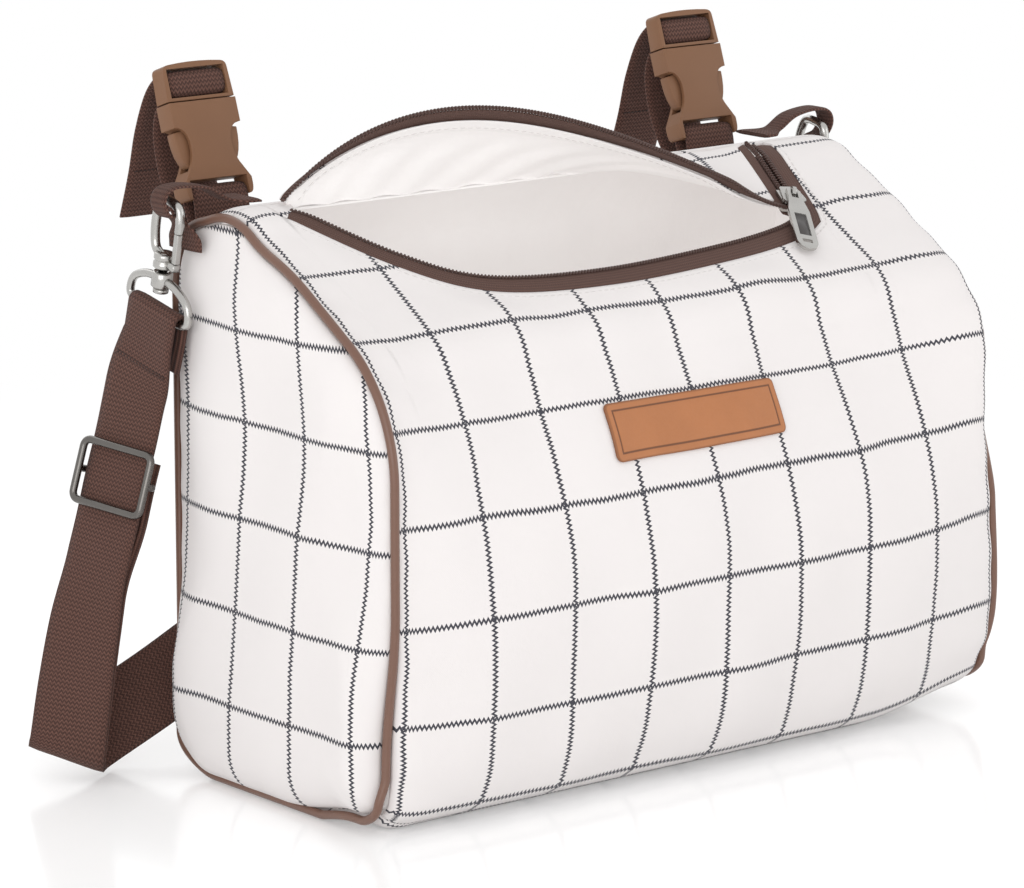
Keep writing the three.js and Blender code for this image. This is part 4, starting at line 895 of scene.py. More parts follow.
@dataclass(frozen=True)
class BagShape:
    """Sizes of the bag's body, and the surface that its cloth follows."""

    length: float = 296.0
    depth: float = 131.0
    shoulder_z: float = 162.0
    slope: float = math.radians(31.7)
    front_foot_r: float = 12.0
    shoulder_r: float = 56.0
    ridge_r: float = 31.0
    back_foot_r: float = 24.0
    front_swell: float = 7.0
    back_swell: float = 4.0
    end_swell: float = 7.0
    belly: float = 5.0
    sink: float = 12.5
    right_sink: float = 6.0
    roll: float = 10.0
    cloth: float = 1.4
    gap: float = 0.3
    foot_tuck: float = 6.0
    top_tuck: float = 4.0
    right_tuck: float = 2.5
    right_shoulder_tuck: float = 4.5
    right_foot_tuck: float = 1.5
    right_hip: float = 2.5
    right_longer: float = 5.5
    right_lift: float = 8.0
    turn_under: float = 5.0
    fullness: float = 8.0
    foot_fullness: float = 4.0
    top_flat: float = 3.5
    arc_points: int = 60

    @property
    def half(self) -> float:
        """Half the length of the wrapped panels, inside the end seams."""
        return self.length / 2 - 5 * self.gap

    @cached_property
    def shoulder(self) -> tuple[float, float]:
        """Centre of the shoulder's arc, y and z."""
        drop = self.shoulder_r * math.tan((math.pi / 2 - self.slope) / 2)
        return -self.depth / 2 + self.shoulder_r, self.shoulder_z - drop

    @cached_property
    def ridge(self) -> tuple[float, float]:
        """Centre of the ridge's arc, y and z."""
        corner = self.shoulder_z + self.depth * math.tan(self.slope)
        drop = self.ridge_r * math.tan((math.pi / 2 + self.slope) / 2)
        return self.depth / 2 - self.ridge_r, corner - drop

    @cached_property
    def height(self) -> float:
        """Height of the ridge."""
        return self.ridge[1] + self.ridge_r

    @cached_property
    def top_normal(self) -> Array:
        """Direction out of the sloping top."""
        return np.array([0.0, -math.sin(self.slope), math.cos(self.slope)])

    @cached_property
    def section(self) -> Array:
        """The closed section from the front seam upwards: length travelled, y, z and outward y, z."""
        foot, heel = self.front_foot_r, self.back_foot_r
        front = (-self.depth / 2 + foot, foot)
        back = (self.depth / 2 - heel, heel)
        half_turn = math.pi
        tilt = half_turn / 2 + self.slope
        arcs = [
            (front, foot, 1.25 * half_turn, half_turn),
            (self.shoulder, self.shoulder_r, half_turn, tilt),
            (self.ridge, self.ridge_r, tilt, 0.0),
            (back, heel, 0.0, -half_turn / 2),
            (front, foot, 1.5 * half_turn, 1.25 * half_turn),
        ]
        rows = []
        for (y, z), radius, start, end in arcs:
            angle = np.linspace(start, end, self.arc_points)
            ny, nz = np.cos(angle), np.sin(angle)
            rows.append(np.stack([y + radius * ny, z + radius * nz, ny, nz], 1))
        table = np.concatenate(rows)
        return np.concatenate([lengths(table[:, :2])[:, None], table], 1)

    def arcs(self, first: int, last: int) -> Array:
        """Rows of the section from one of its five arcs to another."""
        return self.section[first * self.arc_points : (last + 1) * self.arc_points]

    def trace(self, s: Array) -> tuple[Array, ...]:
        """Y, z and outward y, z of the section, by length travelled."""
        return tuple(np.interp(s, self.section[:, 0], self.section[:, k]) for k in range(1, 5))

    @cached_property
    def ridge_s(self) -> float:
        """Length travelled at the top of the ridge."""
        part = self.arcs(2, 2)
        return float(np.interp(0.0, part[:, 3], part[:, 0]))

    @cached_property
    def heel_s(self) -> float:
        """Length travelled at the seam of back and base."""
        part = self.arcs(3, 3)
        return float(np.interp(math.sqrt(0.5), -part[:, 4], part[:, 0]))

    @property
    def full_s(self) -> float:
        """Length travelled round the whole section."""
        return float(self.section[-1, 0])

    def front_s(self, z: float) -> float:
        """Length travelled at a height of the upright front."""
        return self.front_foot_r * math.pi / 4 + z - self.front_foot_r

    def top_s(self, y: Array) -> Array:
        """Length travelled at a place across the top, from the shoulder to the ridge."""
        ridge_rows = 32
        part = self.arcs(1, 2)[: self.arc_points + ridge_rows]
        return np.interp(y, part[:, 1], part[:, 0])

    def top_z(self, y: Array) -> Array:
        """Height of the top at a place across the bag, from the shoulder to the back."""
        part = self.arcs(1, 2)
        return np.interp(y, part[:, 1], part[:, 2])

    def swell(self, x: Array, s: Array, z: Array) -> Array:
        """How far the cloth stands out of its seams; the front's shoulder sinks in."""
        (_, ridge_z), shoulder_z = self.ridge, self.arcs(1, 1)[-1, 2]
        lengthwise = crown(2 * x / self.length)
        front = self.front_swell * crown(2 * z / shoulder_z - 1) * ease(z, 1.5, 10)
        front = front + self.belly * np.sin(math.pi * np.clip(z / 150, 0, 1))
        sink = (self.sink + self.right_sink * ease(x, 10, 90)) * fade(s, self.front_s(168), self.front_s(196))
        front = lengthwise * (front - sink * bell(s, self.front_s(148), 36))
        back = self.back_swell * lengthwise * crown(2 * z / ridge_z - 1)
        return np.where(s < self.ridge_s, front, np.where(s < self.heel_s, back, 0.0))

    def creases(self, x: Array, s: Array) -> Array:
        """Soft unevenness of stuffed cloth: a few long waves, and puckers beside the end seams."""
        turn = lambda a, b, c: np.sin(2 * np.pi * (x / a + s / b + c))
        waves = 0.75 * turn(118, 260, 0.1) + 0.55 * turn(67, -104, 0.35) + 0.3 * turn(41, 150, 0.7)
        edge = self.half - np.abs(x)
        pucker = 0.45 * np.exp(-edge / 11) * (np.sin(s / 3.1) + 0.6 * np.sin(s / 5.3 + x / 40))
        return waves * ease(edge, 0, 40) + pucker * ease(edge, 0, 3)

    def tuck(self, sign: Array | int, s: Array) -> Array:
        """How far an end's seam lies inside the rolled edge of the cloth, by end and length travelled."""
        y, z, _, _ = self.trace(s)
        foot = self.foot_tuck * fade(z, 25, 85) * fade(y, -50, -5)
        top = self.top_tuck * ease(z, 190, 212) * ease(y, -20, 15) * fade(y, 45, 62)
        right = self.right_tuck + self.right_shoulder_tuck * ease(z, 85, 125)
        right = (right + self.right_foot_tuck * fade(z, 15, 50)) * fade(y, 36, 60)
        return np.where(np.asarray(sign) < 0, foot + top, right)

    def sag(self, x: Array, s: Array) -> tuple[Array, Array, Array]:
        """How far the filled cloth shifts along x, y and z.

        The right end grows longer above and its foot lifts; the front's foot turns under.
        """
        y, z, _, _ = self.trace(s)
        ahead = fade(y, 36, 60) * ease(x, 112, self.half)
        above = ease(z, 120, 165) * (1 - 0.35 * ease(z, 198, 216))
        hip = self.right_hip * ease(z, 15, 40) * fade(z, 50, 100)
        longer = ahead * (self.right_hip * ease(z, 8, 30) + self.right_longer * above + hip)
        longer = longer - 0.85 * self.tuck(1, s) * np.clip((x - self.half) / self.roll + 1, 0, 1) ** 6
        lifted = self.right_lift * ease(x, 85, self.half) * fade(z, 2, 42) * fade(y, -30, 20)
        under = self.turn_under * np.clip(1 - z / 26, 0, 1) ** 2 * fade(y, -60, -15)
        return longer, under, lifted

    def place(self, x: Array, s: Array, out: Array | float = 0.0) -> Array:
        """A point of the body's face.

        Args:
            x: Place along the bag.
            s: Length travelled round the section.
            out: How far it stands out of the face.

        Returns:
            The points.
        """
        x, s = np.broadcast_arrays(np.asarray(x, float), np.asarray(s, float))
        y, z, ny, nz = self.trace(s)
        size = np.hypot(ny, nz)
        edge = np.clip((np.abs(x) - self.half) / self.roll + 1, 0, 1)
        lift = self.swell(x, s, z) + out - self.tuck(np.sign(x), s) * (1 - np.sqrt(1 - edge**2))
        longer, under, lifted = self.sag(x, s)
        return np.stack([x + longer, y + ny / size * lift + under, z + nz / size * lift + lifted], -1)

    def end_out(self, y: Array, z: Array) -> Array:
        """How far the model's end panel swells, where a tab is sewn on."""
        return self.end_swell * crown(2 * y / self.depth) * crown(2 * z / self.height - 1)

    def plump(self, z: Array) -> Array:
        """How far the flat face of a filled end stands out, fuller at its foot."""
        return self.fullness + self.foot_fullness * fade(z, 30, 100) - self.top_flat * ease(z, 185, 212)


@dataclass(frozen=True)
class ZipLine:
    """The zip's line in plan, its strips on the bag's top, and the lid that hangs on it."""

    bag: BagShape
    left: float = 124.0
    right: float = 96.5
    depth: float = 54.0
    leg_depth: float = 41.0
    spread: float = math.radians(13)
    bend: float = 28.0
    flat: float = 58.0
    tape: float = 7.0
    tape_thickness: float = 0.9
    coil_width: float = 2.4
    coil_height: float = 1.8
    split: float = 1.2
    rise: float = 41.0
    lean_out: float = 12.0
    peak: float = 0.33
    lid_swell: float = 4.0
    leg_swell: float = 1.5
    lip_steps: int = 26
    leg_steps: int = 8

    @property
    def last(self) -> int:
        """Number of the last station."""
        return self.lip_steps + self.leg_steps

    @property
    def reach(self) -> float:
        """From the zip's line to the far edge of its tape."""
        return self.split / 2 + self.coil_width + self.tape

    @cached_property
    def lip(self) -> Array:
        """Stops of the open lip, in plan."""
        ridge_y = self.bag.ridge[0]
        front, start, end = ridge_y - self.depth, ridge_y - self.leg_depth, ridge_y - 7
        deep = start - front
        middle = (self.right - self.left) / 2
        left = [(0, end), (self.bend, mix(end, front, 0.58)), (self.flat, front + 4)]
        right = [(mix(middle, self.right, 0.55), front + 0.25 * deep), (self.right - 15, front + 0.6 * deep)]
        stops = [(-self.left + x, y) for x, y in left]
        return np.array([*stops, (middle, front), *right, (self.right, start)])

    @cached_property
    def leg(self) -> tuple[Array, float]:
        """Direction of the closed leg in plan, and its length."""
        ridge_y = self.bag.ridge[0]
        end = ridge_y - 2 * self.bag.gap - self.reach * math.sin(self.spread)
        length = (end - ridge_y + self.leg_depth) / math.cos(self.spread)
        return np.array([math.sin(self.spread), math.cos(self.spread)]), length

    def plan(self, k: Array) -> Array:
        """Places of the zip's line in plan, by station."""
        k = np.asarray(k, float)
        fine = 600
        even = evenly(self.lip, fine, even=True)
        t = np.interp(np.clip(k, 0, self.lip_steps) / self.lip_steps, np.linspace(0, 1, fine), even)
        heading, length = self.leg
        beyond = np.clip(k - self.lip_steps, 0, None) / self.leg_steps * length
        return through(self.lip, t, even=True) + beyond[:, None] * heading

    def away(self, k: Array) -> Array:
        """Unit direction in plan, square to the line and away from the lid."""
        after, before = (self.plan(np.clip(k + d, 0, self.last)) for d in (1, -1))
        along = unit(after - before)
        return np.stack([along[:, 1], -along[:, 0]], 1)

    def beside(self, k: Array, offset: Array | float, drop: Array | float) -> Array:
        """Places beside the line on the bag's side, below its top."""
        k = np.asarray(k, float)
        p = self.plan(k) + self.away(k) * np.broadcast_to(np.asarray(offset, float), k.shape)[:, None]
        return np.stack([p[:, 0], p[:, 1], self.bag.top_z(p[:, 1]) - drop], 1)

    def lid_edge(self, k: Array) -> Array:
        """The lid's edge: an arch over the open lip, and the zip's line along the closed leg."""
        t = np.clip(k / self.lip_steps, 0, 1)
        ends = self.plan(np.array([0.0, self.lip_steps]))
        chord = ends[0] + (ends[1] - ends[0]) * t[:, None]
        settled = 1 - 0.6 * ease(t, 0.85, 1)
        arch = settled * np.sin(math.pi * t ** (math.log(0.5) / math.log(self.peak)))
        base = mix(*self.bag.top_z(ends[:, 1]), t) - self.bag.cloth
        arched = np.stack([chord[:, 0], chord[:, 1] - self.lean_out * arch, base + self.rise * arch], 1)
        return np.where((k >= self.lip_steps)[:, None], self.beside(k, 0, self.bag.cloth), arched)

    def lid_frame(self, k: Array) -> tuple[Array, Array, Array, Array]:
        """Edge, direction to the hinge, distance to it, and direction out of the lid, by station."""
        ends = self.plan(np.array([0.0, self.last]))[:, 0] + np.array([-1, 1])
        hinge_x = mix(ends[0], ends[1], (k + 0.6) / (self.last + 1.2))
        hinge_y = self.bag.ridge[0] - self.bag.cloth - self.bag.gap
        hinge = np.stack(np.broadcast_arrays(hinge_x, hinge_y, self.bag.height - self.bag.cloth), 1)
        edge = self.lid_edge(k)
        span = np.linalg.norm(hinge - edge, axis=1)
        back = (hinge - edge) / span[:, None]
        behind = np.clip(k - 1 + ease(k, self.lip_steps - 2, self.lip_steps), 0, self.last - 1)
        ahead = self.lid_edge(np.minimum(k + 1, self.last)) - self.lid_edge(behind)
        return edge, back, span, unit(np.cross(ahead, back))

    def on_lid(self, k: Array, offset: Array, height: Array | float) -> Array:
        """Places on the lid, from its edge towards the hinge and out of its face."""
        edge, back, span, up = self.lid_frame(k)
        most = mix(self.lid_swell, self.leg_swell, ease(k, self.lip_steps - 8, self.lip_steps))
        lift = most * np.sin(math.pi * offset / span) + height
        return edge + back * np.asarray(offset)[:, None] + up * lift[:, None]

    @cached_property
    def lid_stations(self) -> Array:
        """Stations of the lid, from the zip's left end to the end of the closed leg."""
        return np.linspace(0.02, self.last, 320)

    def lid_tape(self, k: Array) -> Array:
        """Where the lid's tape ends, from the edge."""
        return np.minimum(self.reach, 0.6 * self.lid_frame(k)[2])


# Pieces


@dataclass
class Studio:
    """Floor, soft lights and the camera."""

    azimuth: float = math.radians(-39.0)
    elevation: float = math.radians(12.1)
    distance: float = 1944.0
    aim_right: float = -32.3
    aim_up: float = 113.6
    focal_pixels: float = 5000.0
    image_width: int = 1024
    sky: float = 0.78
    lamp_aim: float = 0.11
    floor_fade: tuple[float, float] = (0.26, 0.75)
    floor_half: float = 12000.0

    def build(self) -> None:
        """Puts up the camera, the world, the lamps and the floor."""
        self._camera()
        self._world()
        self._lamp("key", (-1.6, -1.2, 0.4), 1.5, 15.0)
        self._lamp("fill", (1.4, -1.3, 0.5), 1.2, 4.5)
        self._lamp("rim", (0.3, 1.3, 1.2), 1.2, 3.0)
        self._floor()
        bpy.context.scene.view_settings.view_transform = "Standard"

    @staticmethod
    def _stand(thing: bpy.types.Object, right: Array, back: Array, spot: Sequence[float]) -> None:
        """Puts a camera or lamp in place, looking away from its back."""
        columns = np.stack([right, np.cross(back, right), back], 1).tolist()
        thing.matrix_world = Matrix([[*row, p] for row, p in zip(columns, spot)] + [[0, 0, 0, 1]])
        show(thing)

    def _camera(self) -> None:
        """Camera at the angle of the view that was measured."""
        sa, ca = math.sin(self.azimuth), math.cos(self.azimuth)
        se, ce = math.sin(self.elevation), math.cos(self.elevation)
        back = np.array([sa * ce, -ca * ce, se])
        right = np.array([ca, sa, 0.0])
        up = np.cross(back, right)
        spot = (right * self.aim_right + up * self.aim_up + back * self.distance) * METRE
        lens = bpy.data.cameras.new("camera")
        lens.sensor_width = 36.0
        lens.sensor_fit = "HORIZONTAL"
        lens.lens = self.focal_pixels * lens.sensor_width / self.image_width
        camera = bpy.data.objects.new("camera", lens)
        self._stand(camera, right, back, spot)
        bpy.context.scene.camera = camera

    def _world(self) -> None:
        """An even pale sky that shows white behind the object and in what shines."""
        world = bpy.data.worlds.new("studio")
        bpy.context.scene.world = world
        world.use_nodes = True
        g = Graph(world.node_tree)
        sky, white = (
            g.node("ShaderNodeBackground", {}, {"Color": (1.0, 1.0, 1.0), "Strength": strength}).outputs[0]
            for strength in (self.sky, 1.0)
        )
        shown = g.node("ShaderNodeMixShader", {}, {0: g.seen(), 1: sky, 2: white}).outputs[0]
        g.node("ShaderNodeOutputWorld", {}, {"Surface": shown})

    def _lamp(self, name: str, spot: tuple[float, float, float], size: float, power: float) -> None:
        """A square soft lamp that looks at the bag."""
        data = bpy.data.lights.new(name, "AREA")
        data.size = size
        data.energy = power
        back = unit(np.array(spot) - np.array([0.0, 0.0, self.lamp_aim]))
        right = unit(np.cross([0.0, 0.0, 1.0], back))
        self._stand(bpy.data.objects.new(name, data), right, back, spot)

    def _floor(self) -> None:
        """A pale glossy floor that fades to white away from the object."""
        g = Paint("pale_floor")
        x, y, _ = g.split(g.body())
        far = (x * x + y * y).root().step(*self.floor_fade)
        g.surface(
            Base_Color=(0.93, 0.93, 0.93),
            Roughness=0.16,
            Specular_IOR_Level=0.4,
            Emission_Color=g.blend(g.seen(), (0.0, 0.0, 0.0), (1.0, 1.0, 1.0)),
            Emission_Strength=0.25,
        )
        white = g.node("ShaderNodeEmission", {}, {"Color": (1.0, 1.0, 1.0), "Strength": 1.0})
        shown = g.node("ShaderNodeMixShader", {}, {0: far, 1: g.shader.outputs[0], 2: white.outputs[0]})
        g.feed(g.output.inputs["Surface"], shown.outputs[0])
        span = np.linspace(-self.floor_half, self.floor_half, 9)
        x, y = np.meshgrid(span, span, indexing="ij")
        points = np.stack([x, y, np.full_like(x, -0.4)], -1)
        floor = bpy.data.objects.new("floor", Skin().grid(points, inside=(0, 0, -900)).mesh("floor"))
        floor.data.materials.append(g.material)
        show(floor)
        floor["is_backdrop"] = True


@dataclass
class BagBody:
    """The stuffed panels with their piping and lining, and the leather patch."""

    bag: BagShape
    zip: ZipLine
    wear: Wardrobe
    piping_r: float = 1.9
    lining: float = 0.8
    patch: tuple[float, float, float, float] = (86.0, 22.0, 1.2, 2.5)
    patch_x: float = -2.9
    patch_z: float = 137.4
    first_upright: float = -146.5
    first_level: float = 115.0
    end_upright: float = -53.4
    end_level: float = 105.5
    end_stretch: float = 1.045
    end_points: int = 260
    cord_points: int = 420
    inside: tuple[float, float, float] = (0.0, 0.0, 95.0)

    def build(self) -> None:
        """Builds and dresses every piece of the body."""
        self._front()
        self._back_and_base()
        for side in Side:
            self._end(side)
            self._piping(side)
        self._lining()
        self._label()

    def _panel(self, name: str, skin: Skin, node: str) -> None:
        """Dresses a panel of checked cloth that stands for a node."""
        dress(name, skin, Dress(self.wear.cloth, Slot.CLOTH, replaces=(node,), thickness=self.bag.cloth))

    def _columns(self, count: int) -> Array:
        """Places along the bag that close up towards both ends."""
        return self.bag.half * np.sin(np.linspace(-math.pi / 2, math.pi / 2, count))[:, None]

    def _front_grid(self, rows: int) -> tuple[Array, Array, Array]:
        """Places along and round the front panel, whose columns end on the zip's edge or the ridge.

        A column rises straight from the base seam and bends towards its end on the panel's upper border.
        The border is the ridge, the rim of the zip and the ridge again.

        Args:
            rows: Number of rows.

        Returns:
            X, length round the section and share of the column, by column and row.
        """
        lip, side_columns = self.zip.lip_steps, 26
        k = np.concatenate([np.linspace(0, lip, 190), np.linspace(lip, self.zip.last, 40)[1:]])
        rim = self.zip.beside(k, self.zip.reach - 0.2, 0)[:, :2]
        half, ridge = self.bag.half, self.bag.ridge_s
        rim_s = np.minimum(self.bag.top_s(rim[:, 1]), ridge)
        leg = k > lip
        outwards = np.sin(np.linspace(0, math.pi / 2, side_columns))
        left = mix(rim[0, 0] - 1.0, -half, outwards[::-2])
        right = mix(rim[-1, 0], half, outwards)
        top_x = np.concatenate([left, rim[:, 0], right])
        top_s = np.concatenate([np.full(len(left), ridge), rim_s, np.full(side_columns, ridge)])
        corner = rim[~leg][-1, 0]
        foot_leg = np.linspace(corner, corner + 12, leg.sum() + 1)[1:]
        foot = np.concatenate([left, rim[~leg][:, 0], foot_leg, mix(corner + 12.3, half, outwards)])
        v = np.linspace(0, 1, rows)[None]
        late = np.clip((v - 0.86) / 0.14, 0, 1) ** 2
        x = foot[:, None] + (top_x - foot)[:, None] * late
        return x, top_s[:, None] * v, np.broadcast_to(v, x.shape)

    def _cloth(self, x: Array, s: Array) -> Array:
        """Cloth coordinates of the wrap, from its first upright and level lines.

        The print is drawn together at both end seams and at the foot, and it shifts over the sunk shoulder.
        """
        right_gather, left_shift, left_gather, left_rest = 6.5, 2.4, 3.0, 0.29
        foot_gather, foot_jump, shoulder_rise, right_drop = 4.0, 29.7, 1.8, 2.6
        half, z = self.bag.half, s - self.bag.front_s(0)
        seam = x + half
        across = x - self.first_upright + right_gather * ease(x, half - 14, half)
        across = across - left_shift * fade(seam, 3, 36)
        across = across + left_gather * (ease(seam, 0, 7) - left_rest) * fade(seam, 10, 36)
        along = z - self.first_level - foot_gather * fade(z, 2, 36) - foot_jump * fade(z, 4.2, 6.6)
        along = along + shoulder_rise * bell(z, 152, 20) - right_drop * ease(x, 60, half)
        return np.stack([across, along], -1)

    def _front(self) -> None:
        """The front, shoulder and sloping top, open at the zip."""
        x, s, v = self._front_grid(170)
        calm = ease(1 - v, 0, 0.07) * ease(s, 0, 12)
        points = self.bag.place(x, s, self.bag.creases(x, s) * calm)
        skin = Skin().grid(points, self._cloth(x, s), self.inside)
        self._corner(skin)
        self._panel("front_cloth", skin, "front_panel")
        k = np.linspace(0.3, self.zip.last - 0.3, 500)
        row = self.zip.beside(k, self.zip.reach + 1.9, -0.02)
        sewn = stitches(Skin(), row, self.bag.top_normal, Stitch.TOP)
        dress("zip_topstitch", sewn, Dress(self.wear.pale_thread, Slot.CLOTH))

    def _corner(self, skin: Skin) -> None:
        """Closes the cloth behind the zip's left end: a patch between its tape, the lid and the ridge."""
        start = np.zeros(1)
        rim = self.zip.beside(start, self.zip.reach - 0.2, 0)[0, :2]
        end = self.zip.plan(start)[0]
        low = np.stack([rim, end + [1.0, 0.0]])
        low_s = np.minimum(self.bag.top_s(low[:, 1]), self.bag.ridge_s)
        u, v = np.meshgrid(np.linspace(0, 1, 12), np.linspace(0, 1, 10), indexing="ij")
        x = mix(mix(low[0, 0], low[1, 0], u), mix(rim[0] - 1.2, end[0] + 4.0, u), v)
        s = mix(mix(low_s[0], low_s[1], u), self.bag.ridge_s + 0.6, v)
        skin.grid(self.bag.place(x, s, -0.25), self._cloth(x, s), self.inside)

    def _back_and_base(self) -> None:
        """The back with its heel, and the base."""
        x = self._columns(160)
        s = np.linspace(self.bag.ridge_s, self.bag.heel_s, 110)[None]
        xs, ss = np.broadcast_arrays(x, s)
        calm = ease(ss - self.bag.ridge_s, 2, 30) * ease(self.bag.heel_s - ss, 0, 20)
        near_strap = bell(np.abs(xs), 122, 16) * ease(self.bag.ridge_s + 150 - ss, 0, 40)
        points = self.bag.place(xs, ss, self.bag.creases(xs, ss) * calm * (1 - near_strap))
        self._panel("back_cloth", Skin().grid(points, self._cloth(xs, ss), self.inside), "back_panel")
        s = np.linspace(self.bag.heel_s, self.bag.full_s, 60)[None]
        xs, ss = np.broadcast_arrays(x, s)
        cloth = np.stack([xs - self.first_upright + 3, ss - self.bag.full_s + 2.6], -1)
        self._panel("base_cloth", Skin().grid(self.bag.place(xs, ss), cloth, self.inside), "base_panel")

    def _ring(self, side: Side, inset: float) -> Array:
        """An end's outline, moved inwards: along the bag, y and z."""
        s = np.linspace(0, self.bag.full_s, self.end_points, endpoint=False)
        y, z, ny, nz = self.bag.trace(s)
        inset = inset + self.bag.tuck(side.sign, s)
        longer, under, lifted = self.bag.sag(np.full_like(s, side.sign * self.bag.half), s)
        return np.stack([longer, y - ny * inset + under, z - nz * inset + lifted], 1)

    def _end(self, side: Side) -> None:
        """A swelling end panel: rings of the section that shrink to its middle."""
        ring = self._ring(side, 5 * self.bag.gap)
        middle = np.array([0.0, 0.0, 0.45 * self.bag.height])
        share = (np.linspace(0, 1, 48) ** 1.5 * 0.97)[:, None]
        longer, y, z = np.moveaxis(ring + (middle - ring) * share[..., None], -1, 0)
        wave = 0.5 * np.sin(y / 9.1 + z / 31) + 0.45 * np.sin(z / 13.7 - y / 26 + 0.9)
        pucker = 0.4 * np.sin(np.arange(self.end_points) * 0.62) * np.exp(-share * 14)
        behind, below = ease(ring[:, 1], 10, 50), fade(ring[:, 2], 150, 178)
        slow = np.maximum(behind, below) * ease(ring[:, 2], 35, 90)
        pillow = np.sqrt(1 - (1 - np.clip(share / (0.17 + 0.45 * slow), 0, 1)) ** 2)
        out = pillow * self.bag.plump(z) + longer
        out = out + wave * ease(share, 0.02, 0.3) + pucker * ease(share, 0, 0.04)
        points = np.stack([side.sign * (self.bag.length / 2 + self.bag.gap + out), y, z], -1)
        high, near_front = bell(z, 142, 36), ease(-y, 24, 54)
        turned_in = (1 - pillow) * np.maximum(ease(z, 110, 150), near_front)
        eased = near_front * ease(z, 45, 105) * fade(z, 112, 150)
        bow, turn, slack, dip = 6.0, 9.0, 4.5, 2.4
        across = y - self.end_upright + bow * high - turn * turned_in + slack * eased
        along = (z - self.end_level) * self.end_stretch - 2 * CheckCloth.cell - dip * high
        cloth = np.stack([across, along], -1)
        cloth = np.concatenate([cloth, cloth[:, :1]], 1)
        skin = Skin().grid(points, cloth, self.inside, wrap=True, caps=(-1,))
        self._panel(f"{side.word}_end_cloth", skin, f"{side.word}_end_panel")

    def _piping(self, side: Side) -> None:
        """A corded edge on the seam; along the base it moves outwards."""
        s = np.linspace(0, self.bag.full_s, self.cord_points, endpoint=False)
        y, z, ny, nz = self.bag.trace(s)
        foot, seam = self.bag.front_foot_r, 0.8
        low, aside = fade(z, 0, foot), fade(z, foot, 2 * foot)
        tuck = self.bag.tuck(side.sign, s)
        out = np.minimum(mix(seam, -self.piping_r - self.bag.gap / 6, low), seam - tuck)
        longer, under, lifted = self.bag.sag(np.full_like(s, side.sign * self.bag.half), s)
        x = self.bag.length / 2 + mix(seam, self.piping_r + 5 * self.bag.gap, aside) + longer
        path = np.stack([side.sign * x, y + ny * out + under, z + nz * out + lifted], 1)
        skin = Skin().grid(tube(path, 0.88 * self.piping_r, closed=True), wrap=True)
        node = f"{side.word}_piping"
        dress(f"{node}_cord", skin, Dress(self.wear.piping, Slot.PIPING, replaces=(node,)))

    def _lining(self) -> None:
        """The lining inside the panels, open at the mouth."""
        inset = self.bag.cloth + 2 * self.bag.gap
        x, s, v = (grid[::2] for grid in np.broadcast_arrays(*self._front_grid(60)))
        limit = (self.bag.length / 2 - self.bag.cloth - self.lining) / self.bag.half
        calm = ease(1 - v, 0, 0.1)
        fold = np.sin(x / 17 + s / 61) * np.sin(s / 23 - x / 90)
        depth = -inset - calm * (2.4 + 1.2 * (1 + fold))
        skin = Skin().grid(self.bag.place(x * limit, s, depth), None, self.inside)
        x = self._columns(90) * limit
        s = np.linspace(self.bag.ridge_s - 4, self.bag.full_s, 90)[None]
        xs, ss = np.broadcast_arrays(x, s)
        fold = np.sin(xs / 19 - ss / 47) * np.sin(ss / 29 + xs / 70)
        deeper = ease(ss - self.bag.ridge_s, 3, 25) * (3.2 + 0.9 * fold)
        skin.grid(self.bag.place(xs, ss, -inset - 0.2 - deeper), None, self.inside)
        middle = np.array([0.0, 0.0, 100.0])
        share = np.linspace(0, 0.97, 14)[:, None]
        for side in Side:
            ring = self._ring(side, inset)
            longer, y, z = np.moveaxis(ring + (middle - ring) * share[..., None], -1, 0)
            bow = 1.5 * np.sin(y / 14) * np.sin(z / 18) * ease(share, 0, 0.2)
            x = side.sign * (self.bag.half * limit - 0.6 + np.minimum(bow, 0) + longer)
            skin.grid(np.stack([x, y, z], -1), None, self.inside, wrap=True, caps=(-1,))
        wear = Dress(self.wear.lining, Slot.LINING, replaces=("lining_sack",), thickness=0.5)
        dress("lining_cloth", skin, wear)

    def _label(self) -> None:
        """A leather patch that follows the swell of the front, with a rounded edge and a pressed border."""
        width, height, thick, corner = self.patch
        insets = np.array([0.0, 0.0, 0.05, 0.25, 0.6, 1.2, 2.4, 2.8, 3.1, 3.4, 3.8, 4.6, *[5.0] * 7])
        lifts = np.array([0.0, 0.6, 0.85, 1.05, 1.15, 1.2, 1.2, 1.05, 0.85, 1.05, *[1.2] * 9])
        rings = [rounded(width / 2 - d, height / 2 - d, max(corner - d, 0.15)) for d in insets]
        closing = np.concatenate([np.ones(12), np.linspace(1, 0.04, 7)])
        flat = np.stack(rings) * closing[:, None, None]
        x, z = self.patch_x + flat[..., 0], self.patch_z + flat[..., 1]
        (_, shoulder_z), shoulder_r = self.bag.shoulder, self.bag.shoulder_r
        angle = np.arcsin(np.clip((z - shoulder_z) / shoulder_r, -1, 1))
        s = self.bag.front_s(shoulder_z) + shoulder_r * angle
        lift = self.bag.creases(x, s) + self.bag.gap + (lifts * thick / 1.2)[:, None]
        cloth = np.broadcast_to(insets[:, None, None], (*flat.shape[:1], flat.shape[1] + 1, 2))
        skin = Skin().grid(self.bag.place(x, s, lift), cloth, wrap=True, caps=(0, -1))
        dress("label_leather_patch", skin, Dress(self.wear.label, Slot.LABEL, replaces=("label_patch",)))


